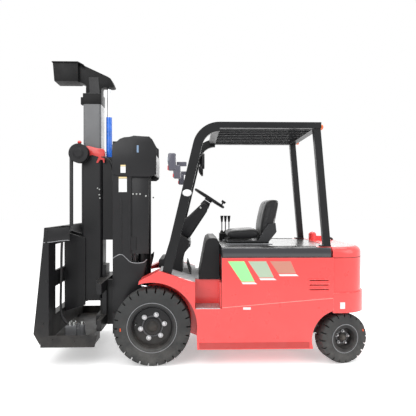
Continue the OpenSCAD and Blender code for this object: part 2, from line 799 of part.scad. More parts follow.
module lift_barrels() {
    h = mast_h - 96 - lift_base_z;
    color(BLACK) both_sides() translate([lift_x, -lift_y, lift_base_z + seat_gap]) difference() {
        union() {
            cylinder(h = h, r = lift_barrel_d / 2);
            translate([0, 0, h - 56]) cylinder(h = 56, r = lift_barrel_d / 2 + 3);
        }
        translate([0, 0, 60]) cylinder(h = h, r = lift_rod_r + 2);
    }
}

module lift_rods() {
    z0 = lift_base_z + 80;
    color(STEEL) both_sides() translate([lift_x, -lift_y, z0]) cylinder(h = mast_h - 60 - seat_gap - z0, r = lift_rod_r);
}

module inner_rail() {
    x = [mast_front_x + rail_t + 3, mast_rear_x - rail_t - 3];
    z = [mast_bottom_z + 10, mast_h - 12];
    slab(x, [-inner_rail_y, -inner_rail_y + rail_t], z);
    for (fx = [x[0], x[1] - rail_t])
        slab([fx, fx + rail_t], [-inner_rail_y, -inner_rail_y + inner_flange], z);
    // Roller that runs in the outer channel
    y_cyl(mast_mid_x, mast_bottom_z + 96, rail_depth / 2 - rail_t - seat_gap, [-outer_rail_y + rail_t + 2, -inner_rail_y - 8]);
    y_cyl(mast_mid_x, mast_bottom_z + 96, 30, [-inner_rail_y - 9, -inner_rail_y + 1]);
}

module inner_mast() {
    rear = mast_rear_x - rail_t - 3;
    y_in = inner_rail_y - rail_t - 1;
    color(BLACK) {
        both_sides() {
            inner_rail();
            // Shelf over the lift rod
            slab([rear, lift_x + 22], [-lift_y - 26, -lift_y + 26], [mast_h - 60, mast_h - 36]);
            // Fork of a chain pulley
            for (y = [-pulley_y - 28, -pulley_y + 22])
                slab([pulley_x - 40, rear + 2], [y, y + 6], [pulley_z - 20, mast_h - 58]);
            y_cyl(pulley_x, pulley_z, 15, [-pulley_y - 28, -pulley_y + 28]);
        }
        for (z = [[mast_h - 60, mast_h - 12], [900, 990], [mast_bottom_z + 14, 330]])
            slab([rear - 1, rear + 24], [-y_in, y_in], z);
    }
}

module chain_pulleys() {
    color(STEEL) both_sides()
        difference() {
            y_cyl(pulley_x, pulley_z, pulley_r, [-pulley_y - 18, -pulley_y + 18]);
            y_cyl(pulley_x, pulley_z, 15.05, [-pulley_y - 30, -pulley_y + 30]);
        }
}

module lift_chains() {
    x = pulley_x - pulley_r - seat_gap;
    color(STEEL) both_sides()
        slab([x - chain_t, x], [-pulley_y - chain_w / 2, -pulley_y + chain_w / 2], [440 + seat_gap, pulley_z]);
}

module anchor_chains() {
    x = pulley_x + pulley_r + seat_gap;
    color(STEEL) both_sides()
        slab([x, x + chain_t], [-pulley_y - chain_w / 2, -pulley_y + chain_w / 2], [1050, pulley_z]);
}

module carriage() {
    plate = [-inner_rail_y + inner_flange + 6, -inner_rail_y + inner_flange + 24];
    color(BLACK) {
        both_sides() {
            // Roller plate between the rails
            side_profile(plate[0], plate[1])
                polygon([
                    [bar_x + 40, 290], [mast_rear_x - 66, 300], [mast_rear_x - 66, 700],
                    [mast_front_x - 20, 735], [bar_x + 40, 735]
                ]);
            for (z = [370, 640]) {
                y_cyl(mast_mid_x, z, rail_depth / 2 - 2 * rail_t - 3 - seat_gap, [-inner_rail_y + rail_t + 2, plate[0] - 3]);
                y_cyl(mast_mid_x, z, 20, [plate[0] - 4, plate[0] + 2]);
            }
            slab([bar_x, bar_x + 42], [plate[0] - 40, plate[1]], [300, 740]);
            // Chain anchor
            slab([bar_x + 40, pulley_x - pulley_r + 10], [-pulley_y - 20, -pulley_y + 20], [400, 440]);
            slab([bar_x + 40, bar_x + 60], [plate[0], -pulley_y], [400, 440]);
        }
        // Fork bars
        slab([bar_x, bar_x + 42], [-500, 500], [300, 400]);
        slab([bar_x, bar_x + 42], [-500, 500], [640, 740]);
    }
}

// Attachment

module outer_column() {
    back = column_x + column_side / 2;
    bar = bar_x - seat_gap;
    color(BLACK) {
        translate([column_x, 0, column_bottom_z]) linear_extrude(column_top_z - column_bottom_z) difference() {
            soft_rect([column_side, column_side], 34);
            soft_rect([column_side - 2 * column_wall, column_side - 2 * column_wall], 24);
        }
        // Spine and arms that hook on the fork bars
        slab([back - 2, bar], [-90, 90], [305, 860]);
        both_sides() for (z = [[640, 735], [305, 400]]) slab([arm_x, bar], [-arm_y, -column_side / 2 + 20], z);
        both_sides() slab([back - 22, bar], [-column_side / 2, -80], [305, column_bottom_z + 20]);
    }
}

module hose_tray() {
    back = column_x + column_side / 2;
    color(BLACK) difference() {
        slab([back + seat_gap, tray_rear_x], [-84, 84], [1116, 1960]);
        slab([back + 16, tray_rear_x + 10], [-70, 70], [1130, 1970]);
    }
}

module hose_reel() {
    color([0.2, 0.2, 0.21]) translate([column_x - 110, -column_side / 2 - 13 - seat_gap, 1986]) rotate([90, 0, 0]) {
        cylinder(h = 10, r = 96);
        cylinder(h = 78, r = 58);
        translate([0, 0, 70]) cylinder(h = 10, r = 96);
        translate([0, 0, 78]) cylinder(h = 14, r1 = 60, r2 = 36, $fn = 48);
    }
}

module reel_bracket() {
    s = column_side / 2;
    color(RED) {
        slab([column_x - 150, column_x + s + 12], [-s - 13, -s - seat_gap], [1940, 2028]);
        both_sides() slab([column_x - s - 13, column_x + s + 12], [-s - 13, -s - seat_gap], [1956, 2004]);
        slab([column_x - s - 13, column_x - s - seat_gap], [-s - 13, s + 13], [1956, 2004]);
    }
}

module reel_hose() {
    y = -column_side / 2 - 54;
    x = column_x - 110 - 58 - 20;
    color(BLACK) translate([x, y, frame_top_z + seat_gap]) cylinder(h = 1986 - frame_top_z, r = 18);
}

module platform_frame() {
    hw = frame_w / 2;
    s = column_side / 2 + seat_gap;
    front = column_x - s;
    color(BLACK) {
        both_sides() {
            // Tapered side post
            side_profile(-hw, -hw + 14)
                polygon([
                    [-962, frame_top_z], [frame_rear_x, frame_top_z], [frame_rear_x, platform_z[1]],
                    [-490, platform_z[1]], [-517, platform_z[0]], [-816, platform_z[0]],
                    [-1007, platform_z[0] + 28], [-1061, 307]
                ]);
            slab([frame_rear_x - 12, frame_rear_x], [-hw, -hw + 190], [platform_z[0] + 20, frame_top_z]);
            side_profile(-hw + 176, -hw + 190)
                polygon([
                    [-962, frame_top_z], [frame_rear_x, frame_top_z], [frame_rear_x, 300], [-1030, 300]
                ]);
            // Guide that straddles the column
            side_profile(-s - 16, -s)
                polygon([
                    [frame_rear_x - 4, 1200], [column_x - 60, 1140], [column_x - 60, 460], [frame_rear_x - 4, 400]
                ]);
        }
        // Beams
        slab([-962, frame_rear_x], [-hw, hw], [1100, frame_top_z]);
        slab([-950, frame_rear_x], [-hw, hw], [705, 852]);
        slab([-1000, frame_rear_x], [-hw, hw], [platform_z[0] + 60, 444]);
        // Platform
        slab([-1000, arm_x - 13], [-hw, hw], [platform_z[0], platform_z[0] + 24]);
        both_sides() {
            slab([arm_x - 14, arm_x - 2], [-hw, -arm_y - 10], [platform_z[0], platform_z[0] + 24]);
            slab([arm_x - 3, bar_x - 13], [-hw, -arm_y - 10], [platform_z[0], platform_z[1]]);
        }
        // Shoes on the column's face
        for (z = [[480, 560], [1040, 1120]]) slab([frame_rear_x - 4, front], [-s - 2, s + 2], z);
        // Hose bracket
        slab([frame_rear_x - 4, column_x - 190], [-s - 80, -s - 20], [frame_top_z - 40, frame_top_z]);
    }
}

module valve_block() {
    color(STEEL) {
        slab([-830, -730], [-420, -300], [platform_z[0] + 24 + seat_gap, 330]);
        translate([-690, -360, platform_z[0] + 24 + seat_gap]) cylinder(h = 120, r = 34);
        slab([-735, -700], [-400, -320], [platform_z[0] + 24 + seat_gap, 300]);
    }
}

module column_ram() {
    color([0.1, 0.35, 0.85])
        translate([ram_x, 0, ram_base_z]) difference() {
            cylinder(h = ram_top_z - ram_base_z, r = 30);
            translate([0, 0, 60]) cylinder(h = ram_top_z, r = 19);
        }
}

module inner_column() {
    s = column_side - 2 * column_wall - 2 * run_gap;
    pad = column_side - 2 * column_wall - 2 * seat_gap;
    color(GREY) translate([column_x, 0, column_foot_z]) {
        linear_extrude(arm_top_z - 320 - column_foot_z) soft_rect([s, s], 18);
        linear_extrude(80) soft_rect([pad, pad], 24 - seat_gap);
    }
}

module top_arm() {
    z0 = arm_top_z - 320;
    back = column_x + column_side / 2;
    color(BLACK) {
        side_profile(-70, 70) polygon([
            [arm_box_rear_x, arm_top_z], [arm_box_rear_x, arm_top_z - 190], [column_x - 90, arm_top_z - 235],
            [column_x - 90, z0], [column_x + 80, z0], [column_x + 110, arm_top_z - 250], [back + 120, arm_top_z - 250],
            [back + 124, arm_top_z - 210], [back + 90, arm_top_z - 160], [column_x - 60, arm_top_z - 60]
        ]);
        slab([arm_front_x, arm_box_rear_x], [-125, 125], [arm_top_z - 195, arm_top_z]);
    }
}

module ram_rod() {
    z1 = arm_top_z - 250 - seat_gap;
    color(STEEL) translate([ram_x, 0, ram_foot_z]) cylinder(h = z1 - ram_foot_z, r = 18);
}

// Tilt cylinders

tilt_v = tilt_eye - tilt_anchor;
tilt_len = norm(tilt_v);
tilt_dir = tilt_v / tilt_len;

module tilt_barrel(side) {
    a = tilt_anchor + [0, side * tilt_y, 0];
    color(BLACK) difference() {
        union() {
            rod(a + tilt_dir * 26, a + tilt_dir * 370, tilt_barrel_d / 2);
            y_cyl(a[0], a[2], 34, [a[1] - 26, a[1] + 26]);
        }
        rod(a + tilt_dir * 60, a + tilt_dir * 400, 17);
        y_cyl(a[0], a[2], 14.05, [a[1] - 60, a[1] + 60]);
    }
}

module tilt_barrel_left() tilt_barrel(-1);

module tilt_barrel_right() tilt_barrel(1);

module tilt_rod(side) {
    a = tilt_anchor + [0, side * tilt_y, 0];
    e = tilt_eye + [0, side * tilt_y, 0];
    color(STEEL) difference() {
        union() {
            rod(a + tilt_dir * 180, e - tilt_dir * 24, 16);
            y_cyl(e[0], e[2], 30, [e[1] - 11, e[1] + 11]);
        }
        y_cyl(e[0], e[2], tilt_pin_r + 5, [e[1] - 30, e[1] + 30]);
    }
}

module tilt_rod_left() tilt_rod(-1);

module tilt_rod_right() tilt_rod(1);

translate([shift_x, 0, 0]) {
    chassis_frame();
    front_fenders();
    floor_plate();
    step_treads();
    drive_axle();
    mast_hangers();
    battery();
    side_panel_left();
    side_panel_right();
    seat_apron();
    counterweight();
    rear_grille();
    steer_axle();
    overhead_guard();
    head_lamps();
    mirrors();
    rear_lamps();
    cowl();
    steering_column();
    steering_wheel();
    pedals();
    control_levers();
    battery_plug();
    hood();
    seat_base();
    seat_cushion();
    seat_back();
    outer_mast();
    lift_barrels();
    inner_mast();
    lift_rods();
    chain_pulleys();
    lift_chains();
    anchor_chains();
    carriage();
    outer_column();
    hose_tray();
    hose_reel();
    reel_bracket();
    reel_hose();
    platform_frame();
    valve_block();
    column_ram();
    inner_column();
    top_arm();
    ram_rod();
    tilt_barrel_left();
    tilt_barrel_right();
    tilt_rod_left();
    tilt_rod_right();
    knuckle_left();
    knuckle_right();
    front_tyre_left();
    front_tyre_right();
    front_rim_left();
    front_rim_right();
    rear_tyre_left();
    rear_tyre_right();
    rear_rim_left();
    rear_rim_right();
}
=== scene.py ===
"""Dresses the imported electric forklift: finishes, seat, trim, chains, hoses, light and camera.

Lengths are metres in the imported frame: X from nose to tail, Y from the truck's left to its right, Z up.
"""
import logging
import math
from dataclasses import dataclass
from enum import Enum
from typing import Iterable, Optional, Sequence

import bmesh
import bpy
from mathutils import Matrix, Vector


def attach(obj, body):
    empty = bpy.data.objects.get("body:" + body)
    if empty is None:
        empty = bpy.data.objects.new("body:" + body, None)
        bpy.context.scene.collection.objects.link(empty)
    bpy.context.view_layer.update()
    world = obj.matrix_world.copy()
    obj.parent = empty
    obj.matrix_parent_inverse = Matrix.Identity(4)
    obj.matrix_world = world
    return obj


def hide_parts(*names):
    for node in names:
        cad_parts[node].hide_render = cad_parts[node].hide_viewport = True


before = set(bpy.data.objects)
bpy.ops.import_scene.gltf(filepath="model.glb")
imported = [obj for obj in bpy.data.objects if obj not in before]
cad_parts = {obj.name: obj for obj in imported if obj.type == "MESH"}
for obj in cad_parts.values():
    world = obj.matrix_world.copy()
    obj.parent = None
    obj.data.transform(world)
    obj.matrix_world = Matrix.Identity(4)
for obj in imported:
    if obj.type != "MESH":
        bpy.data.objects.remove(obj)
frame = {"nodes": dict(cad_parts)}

LOG = logging.getLogger("forklift")
AXLE_SHIFT = -0.460
FRONT_BEAD = 0.1963
REAR_BEAD = 0.1083
Colour = tuple[float, float, float]
Point = tuple[float, float, float]


def linear(red: int, green: int, blue: int) -> Colour:
    """Turns a display colour into the linear colour that a shader takes.

    Args:
        red: Red, 0 to 255.
        green: Green, 0 to 255.
        blue: Blue, 0 to 255.

    Returns:
        The linear colour.
    """
    parts = [value / 255 for value in (red, green, blue)]
    return tuple(p / 12.92 if p <= 0.04045 else ((p + 0.055) / 1.055) ** 2.4 for p in parts)


def truck(x: float, y: float, z: float) -> Vector:
    """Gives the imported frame's point for a point measured from the front axle."""
    return Vector((x + AXLE_SHIFT, y, z))


class Side(Enum):
    """The truck's two sides, with the sign of Y."""

    LEFT = -1
    RIGHT = 1

    @property
    def word(self) -> str:
        """The side's name as the nodes and bodies spell it."""
        return self.name.lower()


# ---------------------------------------------------------------- shader trees


class Tree:
    """A shader tree with short calls to add and join nodes."""

    def __init__(self, tree: bpy.types.NodeTree) -> None:
        """Keeps the tree that the nodes go in."""
        self.tree = tree

    def add(self, kind: str, inputs: Optional[dict] = None, **settings: object) -> bpy.types.Node:
        """Adds one node.

        Args:
            kind: The node's type name.
            inputs: Values or outputs for its sockets, by name or number.
            **settings: Properties of the node.

        Returns:
            The new node.
        """
        node = self.tree.nodes.new(kind)
        for name, value in settings.items():
            setattr(node, name, value)
        for key, value in (inputs or {}).items():
            if isinstance(value, bpy.types.NodeSocket):
                self.tree.links.new(value, node.inputs[key])
            elif isinstance(value, (tuple, list)) and len(value) == 3 and node.inputs[key].type == "RGBA":
                node.inputs[key].default_value = (*value, 1.0)
            else:
                node.inputs[key].default_value = value
        return node

    def math(self, operation: str, first: object, second: object = 0.0, clamp: bool = False) -> bpy.types.NodeSocket:
        """Adds a Math node and gives its output."""
        return self.add("ShaderNodeMath", {0: first, 1: second}, operation=operation, use_clamp=clamp).outputs[0]

    def remap(self, value: object, low: float, high: float, to_low: float = 0.0, to_high: float = 1.0) -> bpy.types.NodeSocket:
        """Adds a clamped Map Range node and gives its output."""
        return self.add("ShaderNodeMapRange", {0: value, 1: low, 2: high, 3: to_low, 4: to_high}).outputs[0]

    def mix(self, mask: object, first: object, second: object) -> bpy.types.NodeSocket:
        """Adds a colour Mix node and gives its output."""
        node = self.tree.nodes.new("ShaderNodeMix")
        node.data_type = "RGBA"
        for key, value in ((0, mask), (6, first), (7, second)):
            if isinstance(value, bpy.types.NodeSocket):
                self.tree.links.new(value, node.inputs[key])
            elif isinstance(value, (tuple, list)):
                node.inputs[key].default_value = (*value[:3], 1.0)
            else:
                node.inputs[key].default_value = value
        return node.outputs[2]

    def group(self, shared: bpy.types.NodeTree, inputs: dict) -> bpy.types.Node:
        """Places a shared node group with its own values."""
        node = self.tree.nodes.new("ShaderNodeGroup")
        node.node_tree = shared
        for key, value in inputs.items():
            if isinstance(value, bpy.types.NodeSocket):
                self.tree.links.new(value, node.inputs[key])
            else:
                node.inputs[key].default_value = value
        return node


class SharedEffects:
    """The node groups that more than one finish uses, each built once."""

    def __init__(self) -> None:
        """Builds every group."""
        self.mottle = self._mottle()
        self.edge_highlight = self._edge_highlight()
        self.dust = self._dust()
        self.ribs = self._ribs()

    @staticmethod
    def _open(name: str, inputs: Sequence[tuple[str, str, object]], outputs: Sequence[tuple[str, str]]) -> tuple[Tree, bpy.types.Node, bpy.types.Node]:
        """Starts a group with its named sockets.

        Args:
            name: The group's name.
            inputs: Name, socket type and default value of each input.
            outputs: Name and socket type of each output.

        Returns:
            The tree, its input node and its output node.
        """
        group = bpy.data.node_groups.new(name, "ShaderNodeTree")
        for label, kind, value in inputs:
            socket = group.interface.new_socket(label, in_out="INPUT", socket_type=kind)
            if value is not None:
                socket.default_value = value
        for label, kind in outputs:
            group.interface.new_socket(label, in_out="OUTPUT", socket_type=kind)
        return Tree(group), group.nodes.new("NodeGroupInput"), group.nodes.new("NodeGroupOutput")

    def _mottle(self) -> bpy.types.NodeTree:
        """Builds slow colour variation and fine grain.

        Returns:
            A group with Tone, Grain and Fleck outputs from 0 to 1.
        """
        tree, given, result = self._open(
            "mottle",
            [("Vector", "NodeSocketVector", None), ("Broad", "NodeSocketFloat", 3.0), ("Fine", "NodeSocketFloat", 400.0)],
            [("Tone", "NodeSocketFloat"), ("Grain", "NodeSocketFloat"), ("Fleck", "NodeSocketFloat")],
        )
        broad = tree.add("ShaderNodeTexNoise", {"Vector": given.outputs[0], "Scale": given.outputs[1], "Detail": 5.0, "Roughness": 0.6})
        fine = tree.add("ShaderNodeTexNoise", {"Vector": given.outputs[0], "Scale": given.outputs[2], "Detail": 2.0})
        fleck = tree.add("ShaderNodeTexVoronoi", {"Vector": given.outputs[0], "Scale": given.outputs[2]})
        tree.tree.links.new(tree.remap(broad.outputs[0], 0.3, 0.7), result.inputs[0])
        tree.tree.links.new(fine.outputs[0], result.inputs[1])
        tree.tree.links.new(fleck.outputs[0], result.inputs[2])
        return tree.tree

    def _edge_highlight(self) -> bpy.types.NodeTree:
        """Builds a rounded normal and a broken mask along sharp edges, where the finishes paint a highlight.

        Returns:
            A group with Mask and Normal outputs.
        """
        tree, given, result = self._open(
            "edge_highlight",
            [("Vector", "NodeSocketVector", None), ("Radius", "NodeSocketFloat", 0.004), ("Breakup", "NodeSocketFloat", 30.0)],
            [("Mask", "NodeSocketFloat"), ("Normal", "NodeSocketVector")],
        )
        bevel = tree.add("ShaderNodeBevel", {"Radius": given.outputs[1]}, samples=4)
        flat = tree.add("ShaderNodeNewGeometry")
        dot = tree.add("ShaderNodeVectorMath", {0: bevel.outputs[0], 1: flat.outputs["Normal"]}, operation="DOT_PRODUCT")
        edge = tree.remap(tree.math("SUBTRACT", 1.0, dot.outputs["Value"]), 0.015, 0.16)
        noise = tree.add("ShaderNodeTexNoise", {"Vector": given.outputs[0], "Scale": given.outputs[2], "Detail": 4.0})
        broken = tree.remap(noise.outputs[0], 0.4, 0.62)
        tree.tree.links.new(tree.math("MULTIPLY", edge, broken), result.inputs[0])
        tree.tree.links.new(bevel.outputs[0], result.inputs[1])
        return tree.tree

    def _dust(self) -> bpy.types.NodeTree:
        """Builds a mask of dust that settles on top faces and near the floor.

        Returns:
            A group with a Mask output.
        """
        tree, given, result = self._open(
            "dust",
            [("Vector", "NodeSocketVector", None), ("Top", "NodeSocketFloat", 0.3), ("Low", "NodeSocketFloat", 0.4), ("Height", "NodeSocketFloat", 0.45)],
            [("Mask", "NodeSocketFloat")],
        )
        spread = tree.add("ShaderNodeTexNoise", {"Vector": given.outputs[0], "Scale": 6.0, "Detail": 8.0, "Roughness": 0.7})
        cloud = tree.remap(spread.outputs[0], 0.35, 0.7)
        normal = tree.add("ShaderNodeSeparateXYZ", {0: tree.add("ShaderNodeNewGeometry").outputs["Normal"]})
        top = tree.math("MULTIPLY", tree.remap(normal.outputs[2], 0.5, 1.0), given.outputs[1])
        place = tree.add("ShaderNodeSeparateXYZ", {0: given.outputs[0]})
        drop = tree.math("DIVIDE", place.outputs[2], given.outputs[3])
        low = tree.math("MULTIPLY", tree.math("SUBTRACT", 1.0, drop, clamp=True), given.outputs[2])
        tree.tree.links.new(tree.math("MULTIPLY", tree.math("MAXIMUM", top, low), cloud), result.inputs[0])
        return tree.tree

    def _ribs(self) -> bpy.types.NodeTree:
        """Builds rows of raised ribs along one axis.

        Returns:
            A group with a Height output.
        """
        tree, given, result = self._open(
            "ribs",
            [("Along", "NodeSocketFloat", 0.0), ("Pitch", "NodeSocketFloat", 0.02)],
            [("Height", "NodeSocketFloat")],
        )
        turns = tree.math("DIVIDE", given.outputs[0], given.outputs[1])
        wave = tree.math("SINE", tree.math("MULTIPLY", turns, 2 * math.pi))
        tree.tree.links.new(tree.remap(wave, -0.2, 0.5), result.inputs[0])
        return tree.tree


# ---------------------------------------------------------------- finishes


@dataclass(frozen=True)
class Finish:
    """A surface finish: its colours, gloss, grain, painted highlights along sharp edges, and dust."""

    name: str
    colour: Colour
    slot: str
    variation: float = 0.12
    roughness: float = 0.4
    metallic: float = 0.0
    coat: float = 0.0
    # Colour and strength of the painted highlight along sharp edges.
    edge_highlight_colour: Optional[Colour] = None
    edge_highlight_amount: float = 0.5
    edge_radius: float = 0.004
    broad: float = 3.0
    fine: float = 500.0
    bump: float = 0.04
    bump_distance: float = 0.0004
    dust_colour: Colour = (0.42, 0.38, 0.33)
    dust_top: float = 0.12
    dust_low: float = 0.2
    specular: float = 0.5
    sheen: float = 0.0

    def shade(self, tree: Tree, effects: SharedEffects, place: bpy.types.NodeSocket) -> tuple[bpy.types.NodeSocket, bpy.types.NodeSocket]:
        """Gives the bare surface's colour and relief before the painted edge highlights and dust.

        Args:
            tree: The material's tree.
            effects: The shared node groups.
            place: The object coordinates.

        Returns:
            The colour and the height.
        """
        mottle = tree.group(effects.mottle, {"Vector": place, "Broad": self.broad, "Fine": self.fine})
        darker = tuple(c * (1 - self.variation) for c in self.colour)
        colour = tree.mix(mottle.outputs["Tone"], darker, self.colour)
        return colour, mottle.outputs["Grain"]

    def make(self, effects: SharedEffects) -> bpy.types.Material:
        """Builds the material.

        Args:
            effects: The shared node groups.

        Returns:
            The material.
        """
        material = bpy.data.materials.new(self.name)
        material.use_nodes = True
        tree = Tree(material.node_tree)
        surface = material.node_tree.nodes["Principled BSDF"]
        place = tree.add("ShaderNodeTexCoord").outputs["Object"]
        colour, height = self.shade(tree, effects, place)
        lightened = tree.group(effects.edge_highlight, {"Vector": place, "Radius": self.edge_radius, "Breakup": 25.0})
        # Painted highlight: a paler colour is mixed in along sharp edges, broken up by noise.
        if self.edge_highlight_colour is not None:
            colour = tree.mix(tree.math("MULTIPLY", lightened.outputs["Mask"], self.edge_highlight_amount), colour, self.edge_highlight_colour)
        dust = tree.group(effects.dust, {"Vector": place, "Top": self.dust_top, "Low": self.dust_low})
        colour = tree.mix(dust.outputs["Mask"], colour, self.dust_colour)
        smear = tree.group(effects.mottle, {"Vector": place, "Broad": 9.0, "Fine": self.fine})
        rough = tree.remap(smear.outputs["Tone"], 0, 1, self.roughness * 0.85, min(1.0, self.roughness * 1.2))
        rough = tree.math("ADD", rough, tree.math("MULTIPLY", dust.outputs["Mask"], 0.3), clamp=True)
        bump = tree.add("ShaderNodeBump", {"Height": height, "Normal": lightened.outputs["Normal"], "Strength": self.bump, "Distance": self.bump_distance})
        links = material.node_tree.links
        links.new(colour, surface.inputs["Base Color"])
        links.new(rough, surface.inputs["Roughness"])
        links.new(bump.outputs[0], surface.inputs["Normal"])
        surface.inputs["Metallic"].default_value = self.metallic
        surface.inputs["Coat Weight"].default_value = self.coat
        surface.inputs["Coat Roughness"].default_value = 0.08
        surface.inputs["Specular IOR Level"].default_value = self.specular
        surface.inputs["Sheen Weight"].default_value = self.sheen
        material.diffuse_color = (*self.colour, 1.0)
        return material


@dataclass(frozen=True)
class RibbedMat(Finish):
    """A rubber mat with ribs along the truck."""

    pitch: float = 0.022

    def shade(self, tree: Tree, effects: SharedEffects, place: bpy.types.NodeSocket) -> tuple[bpy.types.NodeSocket, bpy.types.NodeSocket]:
        """Adds the ribs to the grain; the arguments and results are those of Finish."""
        colour, grain = super().shade(tree, effects, place)
        split = tree.add("ShaderNodeSeparateXYZ", {0: place})
        ribs = tree.group(effects.ribs, {"Along": split.outputs[1], "Pitch": self.pitch})
        lightened = tree.mix(tree.math("MULTIPLY", ribs.outputs[0], 0.35), colour, tuple(min(1.0, c * 1.5) for c in self.colour))
        return lightened, tree.math("ADD", ribs.outputs[0], tree.math("MULTIPLY", grain, 0.1))


@dataclass(frozen=True)
class TreadPlate(Finish):
    """Pressed plate with rows of crossed bars."""

    pitch: float = 0.028

    def shade(self, tree: Tree, effects: SharedEffects, place: bpy.types.NodeSocket) -> tuple[bpy.types.NodeSocket, bpy.types.NodeSocket]:
        """Adds the bars to the grain; the arguments and results are those of Finish."""
        colour, grain = super().shade(tree, effects, place)
        split = tree.add("ShaderNodeSeparateXYZ", {0: place})
        across = tree.math("ADD", split.outputs[0], split.outputs[1])
        down = tree.math("SUBTRACT", split.outputs[0], split.outputs[1])
        first = tree.group(effects.ribs, {"Along": across, "Pitch": self.pitch})
        second = tree.group(effects.ribs, {"Along": down, "Pitch": self.pitch})
        bars = tree.math("MULTIPLY", first.outputs[0], second.outputs[0])
        lightened = tree.mix(tree.math("MULTIPLY", bars, 0.5), colour, (0.62, 0.62, 0.64))
        return lightened, tree.math("ADD", bars, tree.math("MULTIPLY", grain, 0.1))


@dataclass(frozen=True)
class Vinyl(Finish):
    """Seat vinyl with a leather-like cell grain."""

    def shade(self, tree: Tree, effects: SharedEffects, place: bpy.types.NodeSocket) -> tuple[bpy.types.NodeSocket, bpy.types.NodeSocket]:
        """Uses the cell pattern as the relief; the arguments and results are those of Finish."""
        mottle = tree.group(effects.mottle, {"Vector": place, "Broad": self.broad, "Fine": self.fine})
        darker = tuple(c * (1 - self.variation) for c in self.colour)
        colour = tree.mix(mottle.outputs["Tone"], darker, self.colour)
        return colour, tree.math("ADD", mottle.outputs["Fleck"], tree.math("MULTIPLY", mottle.outputs["Grain"], 0.4))


@dataclass(frozen=True)
class BrushedMetal(Finish):
    """Bare metal with fine lines along one axis."""

    lines: Point = (600.0, 600.0, 12.0)

    def shade(self, tree: Tree, effects: SharedEffects, place: bpy.types.NodeSocket) -> tuple[bpy.types.NodeSocket, bpy.types.NodeSocket]:
        """Stretches the grain into lines; the arguments and results are those of Finish."""
        drawn = tree.add("ShaderNodeMapping", {"Vector": place, "Scale": self.lines}).outputs[0]
        streak = tree.add("ShaderNodeTexNoise", {"Vector": drawn, "Scale": 1.0, "Detail": 3.0}).outputs[0]
        darker = tuple(c * (1 - self.variation) for c in self.colour)
        return tree.mix(streak, darker, self.colour), streak


BODY_RED = linear(246, 72, 70)
# Pale red of the painted highlight along the red body's edges.
BODY_EDGE_HIGHLIGHT = linear(255, 170, 165)
NEAR_BLACK = linear(44, 44, 46)

